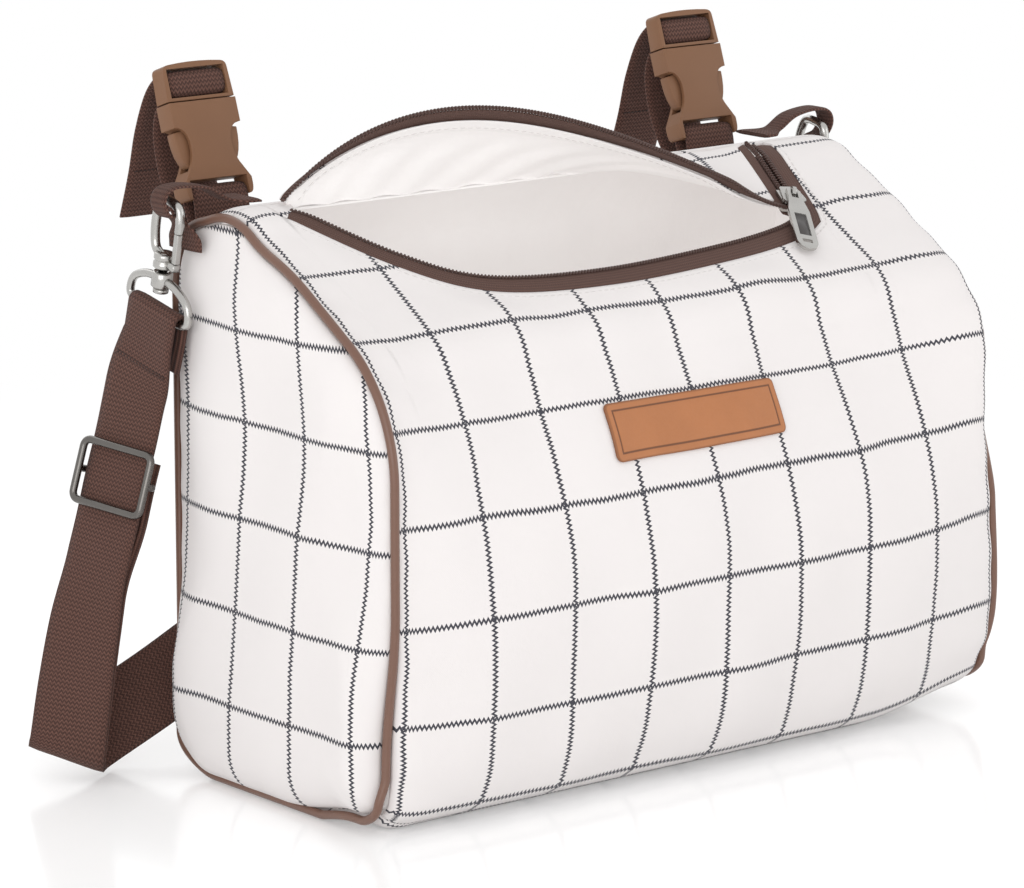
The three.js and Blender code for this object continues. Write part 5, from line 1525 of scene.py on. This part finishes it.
@dataclass
class LidAndZip:
    """The lid with its lining, both zip tapes and coils, the slider and its pull."""

    bag: BagShape
    zip: ZipLine
    wear: Wardrobe
    pitch: float = 1.45
    wire: float = 0.4
    slider_middle: float = 6.5
    pull_turn: float = math.radians(-15)
    pull_droop: float = math.radians(1)
    pull_height: float = 3.3
    window: tuple[float, float, float, float] = (-2.4, -27.9, 2.4, -14.6)
    window_floor: tuple[float, float] = (0.38, 0.46)
    still_x: float = 86.0
    free_x: float = 42.0

    @property
    def bend(self) -> tuple[Array, Array]:
        """Where the lid stays with the bag, at the closed leg, and where it moves freely."""
        return np.array([self.still_x, 0.0, 200.0]), np.array([self.free_x, 0.0, 200.0])

    def build(self) -> None:
        """Builds and dresses the lid and the zip."""
        self._lid()
        self._tapes()
        self._coils()
        for node in ("zip_slider", "zip_pull"):
            copy = rounded_copy(node, 0.25)
            dress(f"{node}_metal", copy, Dress(self.wear.silver, Slot.ZIP_METAL, node, (node,)))
        self._inlay()

    def _inlay(self) -> None:
        """The dark ground of the pull's sunk window, in the frame of the pull as it hangs from the slider."""
        slope, spread = self.bag.slope, self.zip.spread
        along = unit(np.array([math.sin(spread), math.cos(spread), math.cos(spread) * math.tan(slope)]))
        up = self.bag.top_normal
        c, s = math.cos(self.pull_turn), math.sin(self.pull_turn)
        turn = np.array([[c, -s, 0], [s, c, 0], [0, 0, 1]])
        c, s = math.cos(self.pull_droop), math.sin(self.pull_droop)
        droop = np.array([[1, 0, 0], [0, c, -s], [0, s, c]])
        basis = np.stack([np.cross(along, up), along, up], 1) @ turn @ droop
        heading, _ = self.zip.leg
        leg_start = np.array([self.zip.right, self.bag.ridge[0] - self.zip.leg_depth])
        spot = leg_start + heading * self.slider_middle * math.cos(slope)
        base = np.array([*spot, float(self.bag.top_z(spot[1]))]) + up * self.pull_height
        x0, y0, x1, y1 = self.window
        rows = np.array([[(x0, y0, z), (x1, y0, z), (x1, y1, z), (x0, y1, z)] for z in self.window_floor])
        skin = Skin().grid(rows @ basis.T + base, wrap=True, caps=(0, -1))
        dress("zip_pull_inlay", skin, Dress(self.wear.enamel, Slot.ZIP_METAL, "zip_pull"))

    def _lid_sheet(self, start: Array, height: Callable[[Array], Array], rows: int) -> tuple[Array, Array]:
        """A sheet of the lid from a distance behind its edge to the hinge: points and offsets."""
        k = self.zip.lid_stations
        span = self.zip.lid_frame(k)[2]
        offsets = start[None] + (span - start)[None] * np.linspace(0, 1, rows)[:, None]
        return np.stack([self.zip.on_lid(k, row, height(row)) for row in offsets]), offsets

    def _wear(self, material: Material, slot: Slot, *nodes: str, thickness: float = 0.0) -> Dress:
        """Wear of a piece on the lid, with the lid's bend points; nothing bends it by them."""
        return Dress(material, slot, "lid", nodes, thickness, self.bend)

    def _lid(self) -> None:
        """The flap and its lining, with a turned hem beside the tape."""
        k = self.zip.lid_stations
        start = self.zip.lid_tape(k) - 0.1
        wave = lambda row: 0.35 * np.sin(k * 1.15) * np.sin(math.pi * np.clip((row - start) / 30, 0, 1))
        points, offsets = self._lid_sheet(start, lambda row: self.bag.cloth + wave(row), 40)
        _, _, span, up = self.zip.lid_frame(k)
        level = self.bag.ridge_s - self.bag.front_s(BagBody.first_level)
        cloth = np.stack([points[..., 0] - BagBody.first_upright, level - (span - offsets)], -1)
        below = points.mean((0, 1)) - [0, 0, 200]
        wear = self._wear(self.wear.cloth, Slot.CLOTH, "lid_flap", thickness=self.bag.cloth)
        dress("lid_cloth", Skin().grid(points, cloth, below), wear)
        turned_edge = lambda row: 0.7 * fade(row - start, 4.0, 6.0)
        loose = lambda row: 0.5 * ease(row - start, 8, 20) * (1 + np.sin(k * 1.9 + row / 9))
        hem = lambda row: -self.bag.gap - turned_edge(row) - loose(row)
        points, _ = self._lid_sheet(start - 1.5, hem, 60)
        wear = self._wear(self.wear.lining, Slot.LINING, "lid_lining", thickness=0.5)
        dress("lid_lining_cloth", Skin().grid(points, None, below), wear)
        seam = self.zip.on_lid(k, start + 3.2, -self.bag.gap - 1.25)
        sewn = stitches(Skin(), seam, -up, Stitch.HEM)
        dress("lid_hem_stitch", sewn, self._wear(self.wear.pale_thread, Slot.LINING))

    @staticmethod
    def _strip(skin: Skin, points: Array, across: Array, travelled: Array) -> Skin:
        """Adds a woven strip, whose cloth coordinates are its width and the length travelled."""
        cloth = np.stack(np.broadcast_arrays(across[:, None], travelled[None]), -1)
        return skin.grid(points, cloth, points.mean((0, 1)) - [0, 0, 300])

    def _tapes(self) -> None:
        """The woven tapes on the bag's side and on the lid."""
        inner = self.zip.split / 2 + self.zip.coil_width + self.bag.gap
        k = np.linspace(0, self.zip.last, 340)
        t = np.linspace(0, 1, 12)
        drop = self.bag.cloth - self.zip.tape_thickness
        rows = [(mix(inner - 0.8, self.zip.reach - 0.3, w), drop - 0.25 * math.sin(math.pi * w)) for w in t]
        points = np.stack([self.zip.beside(k, *row) for row in rows])
        skin = self._strip(Skin(), points, t * self.zip.tape, lengths(self.zip.beside(k, 6, 0)))
        self._facing(skin, drop)
        wear = Dress(self.wear.tape, Slot.TAPE, replaces=("front_zip_tape",), thickness=0.7)
        dress("front_tape", skin, wear)
        k = self.zip.lid_stations
        end = self.zip.lid_tape(k)
        closed = ease(k, self.zip.lip_steps - 2, self.zip.lip_steps - 0.5)
        start, top = inner - 0.4 + closed, self.zip.tape_thickness - 0.2 * closed
        points = np.stack([self.zip.on_lid(k, mix(start, end + 0.4, w), top) for w in t])
        skin = self._strip(Skin(), points, t * self.zip.tape, lengths(self.zip.lid_edge(k)))
        dress("lid_tape", skin, self._wear(self.wear.tape, Slot.TAPE, "lid_zip_tape", thickness=0.7))

    def _facing(self, skin: Skin, drop: float) -> None:
        """Adds a strip that hangs from the tape's outer edge and passes under the coils of the closed leg."""
        k = np.linspace(self.zip.lip_steps + 0.5, self.zip.last, 40)
        under = 4.8
        across = np.array([self.zip.reach - 1.5, 7.6, 6.4, 3.0, -1.0, -4.0])
        depth = np.array([drop + 0.9, 3.4, under, under, under, under])
        points = np.stack([self.zip.beside(k, w, d) for w, d in zip(across, depth)])
        self._strip(skin, points, across, lengths(self.zip.beside(k, 6, 0)))

    def _coil(self, middle: Array, side: Array, up: Array) -> Skin:
        """A nylon coil: a wire wound into a flat helix along the tape's edge, on a slim core."""
        travelled = lengths(middle)
        turns = int(travelled[-1] / self.pitch)
        at = np.linspace(0, travelled[-1], turns * 10)
        angle = 2 * math.pi * at / self.pitch
        half_w = self.zip.coil_width / 2 - self.wire
        half_h = self.zip.coil_height / 2 - self.wire
        centre, aside, above = (sample(at, travelled, rows) for rows in (middle, side, up))
        path = centre + unit(aside) * (half_w * np.cos(angle))[:, None]
        path = path + unit(above) * (half_h * np.sin(angle))[:, None]
        along = along_of(path)
        first = unit(np.cross(along, along_of(centre)))
        wound = circles(path, first, np.cross(along, first), self.wire, 5)
        skin = Skin().grid(wound, wrap=True, caps=(0, -1))
        core = circles(middle[::2], unit(side[::2]) * half_w, unit(up[::2]) * half_h, 0.8, 6)
        return skin.grid(core, wrap=True, caps=(0, -1))

    def _coils(self) -> None:
        """The two coils, apart along the open lip and side by side along the closed leg."""
        offset = self.zip.split / 2 + self.zip.coil_width / 2
        k = np.linspace(0, self.zip.last, 700)
        middle = self.zip.beside(k, offset, self.bag.cloth - self.zip.coil_height / 2)
        along = along_of(middle)
        side = np.concatenate([self.zip.away(k), np.zeros((len(k), 1))], 1)
        side = side - along * (side * along).sum(1, keepdims=True)
        skin = self._coil(middle, side, np.cross(unit(side), along))
        dress("front_coil", skin, Dress(self.wear.coil, Slot.COIL, replaces=("front_zip_coil",)))
        k = self.zip.lid_stations
        _, back, _, up = self.zip.lid_frame(k)
        middle = self.zip.on_lid(k, np.full_like(k, offset), self.zip.coil_height / 2)
        dress("lid_coil", self._coil(middle, back, up), self._wear(self.wear.coil, Slot.COIL, "lid_zip_coil"))


def rounded_copy(node: str, width: float, segments: int = 2) -> bpy.types.Mesh:
    """A rigid node's own mesh with its doubles merged and its sharp edges rounded.

    Args:
        node: The node.
        width: Width of the rounding.
        segments: Steps of the rounding.

    Returns:
        The new mesh.
    """
    source = bpy.data.objects[node]
    work = bmesh.new()
    work.from_mesh(source.data)
    bmesh.ops.remove_doubles(work, verts=work.verts, dist=1e-6)
    bmesh.ops.dissolve_limit(work, angle_limit=math.radians(2), verts=work.verts, edges=work.edges)
    sharp = [e for e in work.edges if len(e.link_faces) == 2 and e.calc_face_angle() > math.radians(32)]
    bmesh.ops.bevel(
        work,
        geom=sharp,
        offset=width * METRE,
        segments=segments,
        profile=0.5,
        affect="EDGES",
        clamp_overlap=True,
    )
    bmesh.ops.triangulate(work, faces=[f for f in work.faces if len(f.verts) > 4])
    mesh = bpy.data.meshes.new(f"{node}_rounded")
    work.to_mesh(mesh)
    work.free()
    mesh.shade_smooth()
    mesh.set_sharp_from_angle(angle=math.radians(38))
    return mesh


@dataclass
class Hanger:
    """One hanging strap: its two lengths of webbing, sewn to the back, and its side-release buckle."""

    side: Side
    bag: BagShape
    wear: Wardrobe
    from_end: float = 26.0
    width: float = 25.0
    thickness: float = 1.5
    tilt: float = math.radians(19)
    behind: float = 13.0
    below: float = 2.5
    buckle: float = 9.0
    socket: float = 35.5
    sill: float = 1.2
    bar: float = 3.2
    slot: float = 4.0
    patch: float = 36.0
    line_room: float = 11.0
    tail_reach: float = 47.0
    tail_rise: float = 2.0

    def build(self) -> None:
        """Builds and dresses the straps, their stitches and the buckle's parts."""
        word = self.side.word
        short, hanging = self._band(self._short(), 120), self._band(self._hanging(), 200)
        for band, part in ((short, "short_strap"), (hanging, "hanging_strap")):
            node = f"{word}_{part}"
            wear = Dress(self.wear.webbing, Slot.WEBBING, replaces=(node,))
            dress(f"{node}_webbing", band.add_to(Skin()), wear)
        self._sewing(hanging)
        for part in ("socket", "plug", "outer_prong", "inner_prong"):
            node = f"{word}_buckle_{part}"
            body, width, segments = (node, 0.4, 2) if part.endswith("prong") else ("bag", 0.6, 3)
            mesh = rounded_copy(node, width, segments)
            dress(f"{node}_moulding", mesh, Dress(self.wear.buckle, Slot.BUCKLE, body, (node,)))

    @property
    def patch_top(self) -> float:
        """Height where the sewn part ends."""
        return self.bag.ridge[1] - 2

    @property
    def x(self) -> float:
        """Place of the strap's middle along the bag."""
        return self.side.sign * (self.bag.length / 2 - self.from_end)

    @property
    def lap(self) -> float:
        """From the middle of a buckle's bar to the middle of the webbing round it."""
        return self.bar / 2 + self.bag.gap + self.thickness / 2

    def _on_buckle(self, up: float, out: float) -> tuple[float, float]:
        """Y and z of a place on the buckle's plane: up along it and out of its face."""
        s, c = math.sin(self.tilt), math.cos(self.tilt)
        y, z = self.bag.depth / 2 + self.behind, self.bag.height - self.below
        return y + up * s - out * c, z + up * c + out * s

    def _on_back(self, z: float, layer: float) -> tuple[float, float]:
        """Y and z of webbing that lies on the back panel."""
        near = np.array(abs(self.x) - self.width / 2)
        swell = self.bag.back_swell * crown(2 * near / self.bag.length)
        swell = swell * crown(np.array(2 * z / self.bag.ridge[1] - 1))
        face = self.bag.depth / 2 + float(swell) + self.bag.gap + self.thickness / 2
        return face + layer * (self.thickness + self.bag.gap), z

    def _patch(self, layer: float) -> list[tuple[float, float]]:
        """The sewn part on the back panel."""
        return [self._on_back(self.patch_top - self.patch * (1 - t), layer) for t in (0, 0.5, 0.9)]

    def _leaving(self, layer: float, out: float, up: float) -> tuple[float, float]:
        """A place where the webbing leaves the top of its sewn part."""
        y, z = self._on_back(self.patch_top, layer)
        return y + out, z + up

    def _short(self) -> list[tuple[float, float]]:
        """Route of the short strap, round the socket's bar."""
        lap, wide = self.lap, self.lap * 1.25
        turns = [math.pi * t for t in (1, 0.75, 0.5, 0.25, 0)]
        bend = [self._on_buckle(wide * math.sin(a), wide * math.cos(a)) for a in turns]
        end = [self._on_buckle(-7, lap), self._on_buckle(-12, lap - 1.2)]
        start = [*self._patch(0), self._leaving(0, 0.5, 0), self._leaving(0, 2.2, 5)]
        return [*start, self._on_buckle(-12, -lap), *bend, *end]

    def _hanging(self) -> list[tuple[float, float]]:
        """Route of the long strap: up behind the buckle, round the plug's bar and down its tail."""
        lap, layer = self.lap, 1.3
        bar = self.socket + 2 * self.bag.gap + self.sill + self.slot + self.bar / 2
        window = self.bar / 2 + self.slot - self.thickness / 2 - 1.5 * self.bag.gap
        low, high = bar - window, bar + window
        loop = self.buckle / 2 + self.line_room
        standing = [(0, -loop + 2), (16, -loop), (low - 8, -loop + 3), (low - 0.6, -5), (low, 0)]
        bend = [(low + 0.9, lap - 0.3), (bar, lap + 0.4), (high - 0.9, lap - 0.3), (high, 0)]
        tail = [(high - 0.3, -5), (high - 4, -13), (high - 16, -25)]
        tail += [(self.tail_rise + 15, 12 - self.tail_reach), (self.tail_rise, -self.tail_reach)]
        spots = [*standing, *bend, *tail]
        start = [*self._patch(layer), self._leaving(layer, 0.8, 0), self._leaving(layer, 3.6, 5)]
        return [*start, *(self._on_buckle(*p) for p in spots)]

    def _band(self, route: list[tuple[float, float]], count: int) -> Band:
        """Webbing along a route across the bag."""
        stops = np.array([(self.x, y, z) for y, z in route])
        place = through(stops, evenly(stops, count))
        across = np.broadcast_to([1.0, 0.0, 0.0], place.shape)
        return Band(place, across, np.full(count, self.width / 2), self.thickness)

    def _sewing(self, band: Band) -> None:
        """A stitched cross on the sewn part, and a row across the tail's folded end."""
        skin = Skin()
        lift = self.thickness / 2 + 0.02
        first, last, edge, tail = 0.02, 0.155, 0.8, 0.9
        box = [(first, -edge), (first, edge), (last, -edge), (last, edge)]
        corners = [*box, box[0], box[2], box[3], box[1]]
        sign = 1.0 if band.face[10, 1] > 0 else -1.0
        for (r0, w0), (r1, w1) in zip(corners[:-1], corners[1:]):
            t = np.linspace(0, 1, 20)
            row = np.stack([band.at(mix(r0, r1, a), mix(w0, w1, a), sign * lift) for a in t])
            stitches(skin, row, np.array([0.0, 1.0, 0.0]), Stitch.CROSS)
        for lifted in (lift, -lift):
            row = np.stack([band.at(tail, w, lifted) for w in np.linspace(-0.85, 0.85, 20)])
            normal = band.face[int(tail * (len(band.place) - 1))] * np.sign(lifted)
            stitches(skin, row, normal, Stitch.TAIL)
        dress(f"{self.side.word}_strap_sewing", skin, Dress(self.wear.thread, Slot.WEBBING))


@dataclass
class SnapHook:
    """One corner tab with its snap hook, spring gate and strap eye."""

    side: Side
    bag: BagShape
    wear: Wardrobe
    from_back: float = 12.5
    tab: float = 20.0
    tab_at_hook: float = 9.5
    reach: float = 12.2
    room: float = 3.0
    rise: float = 8.0
    wire: float = 1.8
    width: float = 18.0
    height: float = 24.0
    lean: float = math.radians(12)
    barrel: float = 4.0
    stem: float = 1.7
    stem_length: float = 9.0
    eye_wire: float = 1.6
    eye_height: float = 13.0
    strap: float = 30.0
    piping_r: float = 1.9
    webbing: float = 1.5

    @property
    def y(self) -> float:
        """Place of the hook across the bag."""
        return self.bag.depth / 2 - self.from_back

    @property
    def x(self) -> float:
        """Distance of the hook from the middle of the bag."""
        return self.bag.length / 2 + self.reach

    @property
    def z(self) -> float:
        """Height of the hook's wire."""
        return float(self.bag.top_z(np.array(self.y))) + self.rise

    @property
    def eye_drop(self) -> float:
        """Height of the eye's bar in the hook's own frame."""
        return -self.height - 2 - self.stem_length / 2 - self.eye_height

    def build(self) -> None:
        """Builds and dresses the tab and the metal parts."""
        word = self.side.word
        band = self._tab()
        wear = Dress(self.wear.webbing, Slot.WEBBING, replaces=(f"{word}_tab",))
        dress(f"{word}_tab_webbing", band.add_to(Skin()), wear)
        metal = {"hook": self._hook(), "strap_eye": self._eye()}
        for part, skin in metal.items():
            body = f"{word}_hook" if part == "hook" else "bag"
            dress(f"{word}_{part}_wire", skin, Dress(self.wear.silver, Slot.HOOK, body, (f"{word}_{part}",)))
        gate = f"{word}_hook_gate"
        dress(f"{gate}_bar", rounded_copy(gate, 0.5, 3), Dress(self.wear.silver, Slot.HOOK, gate, (gate,)))

    def _tab(self) -> Band:
        """A loop of webbing over the end seam, drawn together round the hook's wire."""
        lap = self.wire + self.room + self.webbing / 2
        edge = self.y - self.tab / 2
        top = float(self.bag.top_z(np.array(edge))) + self.bag.gap + self.webbing / 2
        swell = float(self.bag.end_out(np.array(edge), np.array(self.z - 20)))
        sewn = self.bag.length / 2 + swell + self.bag.gap + self.bag.cloth + self.webbing / 2
        seam, x, z = self.bag.length / 2, self.x, self.z
        high, low = z + lap, z - lap
        route = [(seam - 22, top), (seam - 12, top + 0.8), (seam - 2, float(mix(top, high, 0.6)) + 1.5)]
        route += [(x, high), (x + lap * 0.75, z + lap * 0.7), (x + lap, z), (x + lap * 0.6, z - lap * 0.8)]
        route += [(x - 1.5, low - 0.6), (sewn + self.piping_r, low - 4.5), (sewn + 0.6, low - 9)]
        route += [(sewn + 0.4, low - 13)]
        stops = np.array([(self.side.sign * px, self.y, pz) for px, pz in route])
        t = np.linspace(0, 1, 110)
        ends = 0.5 - np.abs(t - 0.5)
        half = mix(self.tab, self.tab_at_hook, ease(ends, 0.05, 0.17)) / 2
        place = through(stops, evenly(stops, 110))
        return Band(place, np.broadcast_to([0.0, 1.0, 0.0], place.shape), half, self.webbing)

    def _set(self, points: Array) -> Array:
        """Points of the hook's own frame, leaned back and put in place."""
        s, c = math.sin(self.lean), math.cos(self.lean)
        turn = np.array([[1, 0, 0], [0, c, -s], [0, s, c]])
        return points @ turn.T + [self.side.sign * self.x, self.y, self.z]

    def _hook(self) -> Skin:
        """A bent wire with its nose, a barrel, a stem and a rivet."""
        half, low = self.width / 2 - self.wire, -self.height
        nose = -self.height * 0.42
        bow = [(0, low + 2), (half * 0.75, low + 4), (half, low + 9), (half, -6), (half * 0.7, -0.9), (0, 0)]
        bow += [(-half * 0.7, -0.9), (-half, -6), (-half, nose)]
        stops = np.array([(0, y, z) for y, z in bow])
        path = through(stops, evenly(stops, 70))
        skin = Skin().grid(self._set(tube(path, self.wire, 16)), wrap=True, caps=(0, -1))
        r, stem, end = self.barrel, self.stem, low - 2 - self.stem_length
        barrel = [(1.2, 4), (r - 0.6, 4), (r, 3.3), (r, 1.8), (r - 0.5, 1.4), (r - 0.5, 0.6), (r, 0.2)]
        barrel += [(r, -1.4), (r - 0.6, -2), (stem, -2)]
        rivet = [(stem, 1), (stem + 1, 1), (stem + 1.3, 0.5), (stem + 1.2, -0.6), (stem * 0.7, -1)]
        profile = [(radius, low + up) for radius, up in barrel]
        profile += [(radius, end + up) for radius, up in rivet]
        skin.grid(self._set(turned(profile)), wrap=True, caps=(0, -1))
        wide, back = self.wire * 0.92, -half - 1
        corners = [(-wide, low - 1), (wide, low - 1), (wide, low + 1.6), (-wide, low + 1.6)]
        box = np.array([[(x, y, z) for x, z in corners] for y in (back, back + 0.4, 0.0)])
        box[0] = box[0] * [0.8, 1, 1]
        return skin.grid(self._set(box), wrap=True, caps=(0, -1))

    def _eye(self) -> Skin:
        """A D of wire with a collar that turns on the hook's stem."""
        half = self.strap / 2 + self.bag.gap + 2 * self.eye_wire
        corner = 2 * self.eye_wire - self.bag.gap
        tall, mid = self.eye_height, self.eye_height * 0.5
        right = [(half - corner, 0), (half, corner * 0.6), (half - 1, mid + 1), (half * 0.55, tall - 1.2)]
        left = [(-y, z) for y, z in right[::-1]]
        stops = np.array([(0, y, z) for y, z in (*right, (0, tall), *left, (0, 0))])
        loop = np.concatenate([stops[-2:], stops, stops[:3]])
        n = len(loop) - 1
        path = through(loop, np.linspace(2 / n, (n - 2) / n, 120, endpoint=False))
        put = lambda grid: self._set(grid + [0, 0, self.eye_drop])
        skin = Skin().grid(put(tube(path, self.eye_wire, closed=True)), wrap=True)
        half_collar = (self.stem_length - 3) / 2
        low, high = tall - half_collar, tall + half_collar
        bore, r = self.stem + self.bag.gap, self.barrel
        collar = [(bore, low), (r - 0.5, low), (r, low + 0.5), (r, high - 0.5), (r - 0.5, high), (bore, high)]
        collar.append(collar[0])
        return skin.grid(put(turned(collar)), wrap=True)


@dataclass
class ShoulderStrap:
    """The doubled strap from eye to eye, with its slide."""

    bag: BagShape
    hook: SnapHook
    wear: Wardrobe
    width: float = 30.0
    thickness: float = 1.5
    slide_height: float = 26.0
    slide_share: float = 0.65
    slide_wire: float = 1.5

    @property
    def wire_off(self) -> float:
        """From the middle of the webbing to the middle of the slide's wire on its face."""
        return self.thickness / 2 + self.bag.gap + self.slide_wire

    @cached_property
    def eye_bar(self) -> Array:
        """Middle of the right eye's bar."""
        drop = self.hook.eye_drop
        s, c = math.sin(self.hook.lean), math.cos(self.hook.lean)
        return np.array([self.hook.x, self.hook.y - drop * s, self.hook.z + drop * c])

    @property
    def eye_tilt(self) -> Array:
        """Direction along an eye's bar."""
        return np.array([0.0, -math.cos(self.hook.lean), -math.sin(self.hook.lean)])

    def _beside_eye(self, sign: int, out: float, down: float) -> Array:
        """A place beside an eye's bar, outwards and down from it."""
        away = np.array([0.0, math.sin(self.hook.lean), -math.cos(self.hook.lean)])
        p = self.eye_bar + [out, 0, 0] + away * down
        return p * [sign, 1, 1]

    def _route(self) -> tuple[Array, Array]:
        """Stops of the strap's middle line from the left eye to the right one, with its width directions."""
        x, back, top = self.hook.x, self.bag.depth / 2, self.eye_bar[2]
        upper = [(5.5, 4, 0.83), (10, 4.6, 0.73), (14.5, 5, 0.645), (18.5, 5.4, 0.56), (23, 6, 0.47)]
        hang = [(*stop, (0.25, -0.97, 0)) for stop in upper]
        hang += [(28.5, 7, 0.34, (0.4, -0.91, -0.1)), (33, 7.8, 0.2, (0.5, -0.85, -0.18))]
        rise = [
            (-0.93, 15.5, 0.165, (0.38, -0.3, -0.87)),
            (-0.69, 20.5, 0.25, (0.3, -0.1, -0.95)),
            (-0.31, 26.5, 0.35, (0.28, 0, -0.96)),
            (0.125, 28.5, 0.45, (0.25, 0, -0.97)),
            (0.565, 26.5, 0.55, (0.3, 0.05, -0.95)),
            (0.83, 20.5, 0.64, (0.4, -0.35, -0.8)),
            (0.975, 12.5, 0.76, (0.2, -0.85, -0.45)),
            (1.022, 4.5, 0.87, tuple(self.eye_tilt)),
        ]
        stops = [(self._beside_eye(-1, 3.4, 10), self.eye_tilt)]
        stops += [(np.array([-x - out, back + b, top * h]), np.array(w)) for out, b, h, w in hang]
        stops += self._bend(np.array([-x - 36, back + 8.5, 15.0]))
        stops += [(np.array([x * share, back + b, top * h]), np.array(w)) for share, b, h, w in rise]
        stops += [(self._beside_eye(1, 3.4, 10), self.eye_tilt)]
        places, widths = zip(*stops)
        return np.array(places), np.array(widths)

    @staticmethod
    def _bend(start: Array) -> list[tuple[Array, Array]]:
        """Stops of the turn on the floor: the strap swings evenly from heading to heading."""
        headings = [
            ((-0.15, 0.1, -0.98), (0.55, -0.8, -0.22), 11.0),
            ((0.63, 0.78, 0.0), (0.69, -0.65, -0.32), 20.0),
            ((0.82, -0.2, 0.44), (0.42, -0.38, -0.82), 0.0),
        ]
        turns = []
        for along, across, _ in headings:
            ahead = unit(np.array(along, float))
            side = unit(np.array(across) - ahead * np.dot(across, ahead))
            turns.append(Matrix(np.stack([ahead, side, np.cross(ahead, side)], 1).tolist()).to_quaternion())
        place = start.copy()
        stops = [(place.copy(), np.array(headings[0][1]))]
        for i, (_, _, length) in enumerate(headings[:-1]):
            for j in range(5):
                halfway = turns[i].slerp(turns[i + 1], (j + 0.5) / 5).to_matrix()
                reached = turns[i].slerp(turns[i + 1], (j + 1) / 5).to_matrix()
                place = place + np.array(halfway.col[0]) * length / 5
                stops.append((place.copy(), np.array(reached.col[1])))
        return stops

    def build(self) -> None:
        stops, widths = self._route()
        t = evenly(stops, 396)
        place, across = through(stops, t), through(widths, t)
        main = Band(place, across, np.full(396, self.width / 2), self.thickness)
        at = int(np.argmax(place[:, 2] < self.eye_bar[2] * self.slide_share))
        slide = self._slide(main, at)
        skin = self._doubled(main, at).add_to(Skin())
        wear = Dress(self.wear.strap, Slot.WEBBING, replaces=("shoulder_strap",))
        strap = dress("shoulder_strap_webbing", skin, wear)
        hung = [self._beside_eye(sign, 1.0, down) for sign, down in ((-1, -1), (-1, 5), (1, 5), (1, -1))]
        path = np.concatenate([hung[:2], place[::3], hung[2:]]) * METRE
        float(lengths(path)[-1])
        self._bartack(main)

    def _doubled(self, main: Band, at: int) -> Band:
        """The whole length: folded end, left eye, hanging part, right eye and the way back to the slide."""
        lap = self.hook.eye_wire + self.bag.gap + self.thickness / 2
        wide = lap * 1.1

        def turn(sign: int, first: float, last: float) -> Array:
            """Stops round an eye's bar, between two shares of half a turn."""
            angles = np.pi * np.linspace(first, last, 14)
            return np.stack([self._beside_eye(sign, wide * math.sin(a), -wide * math.cos(a)) for a in angles])

        fold = np.stack([self._beside_eye(-1, -lap + 1.2, 20), self._beside_eye(-1, -lap, 8)])
        start = np.concatenate([fold, turn(-1, -0.5, 0.45)])
        finish = np.concatenate([turn(1, 0.45, -0.5), self._beside_eye(1, -lap, 8)[None]])
        rows = slice(at - 6, len(main.place) - 15)
        near = self.wire_off + self.slide_wire + self.bag.gap + self.thickness / 2
        back = mix(near, self.thickness + self.bag.gap, ease(np.arange(rows.stop - rows.start), 15, 36))
        home = main.place[rows] - main.face[rows] * back[:, None]
        place = np.concatenate([start, main.place, finish, home[::-1]])
        tilts = lambda n: np.broadcast_to(self.eye_tilt, (n, 3))
        across = np.concatenate([tilts(len(start)), main.side, tilts(len(finish)), main.side[rows][::-1]])
        return Band(place, across, np.full(len(place), self.width / 2), self.thickness)

    def _slide(self, main: Band, at: int) -> bpy.types.Object:
        """The slide: a rounded frame of wire in front of the strap and a bar behind its front layer."""
        r = self.slide_wire
        half, tall, off = self.width / 2 + self.bag.gap + r, self.slide_height / 2 - r, self.wire_off
        flat = rounded(half, tall, 3.0)
        frame = np.concatenate([flat, np.full((len(flat), 1), off)], 1)
        bend = [(-half, off), (-half, 0), (-half + 0.6, -off + 0.6), (-half + 2.4, -off), (0, -off)]
        stops = np.array([(x, 0, z) for x, z in bend])
        stops = np.concatenate([stops, stops[-2::-1] * [-1, 1, 1]])
        bar = through(stops, evenly(stops, 60))
        basis = np.stack([main.side[at], -main.along[at], main.face[at]], 1)
        put = lambda grid: grid @ basis.T + main.place[at]
        skin = Skin().grid(put(tube(frame, r, closed=True)), wrap=True)
        skin.grid(put(tube(bar, r * 0.95)), wrap=True, caps=(0, -1))
        node = "strap_slide"
        return dress(f"{node}_wire", skin, Dress(self.wear.gunmetal, Slot.SLIDE, node, (node,)))

    def _bartack(self, main: Band) -> None:
        """A dense row of stitches that holds the folded end."""
        skin = Skin()
        travelled = lengths(main.place)
        row = float(np.argmax(travelled > 9) / (len(travelled) - 1))
        face = main.face[int(row * (len(travelled) - 1))]
        lift, shares = self.thickness / 2 + 0.02, np.linspace(-0.9, 0.9, 24)
        for step in (0.0, 0.9):
            line = np.stack([main.at(row, w, lift) for w in shares]) + main.along[5] * step
            stitches(skin, line, face, Stitch.BARTACK)
        dress("strap_bartack", skin, Dress(self.wear.thread, Slot.WEBBING))


def main() -> None:
    """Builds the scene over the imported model."""
    logging.basicConfig(level=logging.INFO, format="%(name)s %(message)s")
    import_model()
    as_lists = lambda box: [[float(v) for v in corner] for corner in box]
    packed = as_lists(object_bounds())
    Studio().build()
    wear, bag = Wardrobe(), BagShape()
    zip_line = ZipLine(bag)
    hooks = [SnapHook(side, bag, wear) for side in Side]
    ShoulderStrap(bag, hooks[1], wear).build()
    BagBody(bag, zip_line, wear).build()
    LidAndZip(bag, zip_line, wear).build()
    for side in Side:
        Hanger(side, bag, wear).build()
    for hook in hooks:
        hook.build()
    {"cad": packed, "visual": as_lists(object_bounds())}


if __name__ == "__main__":
    main()
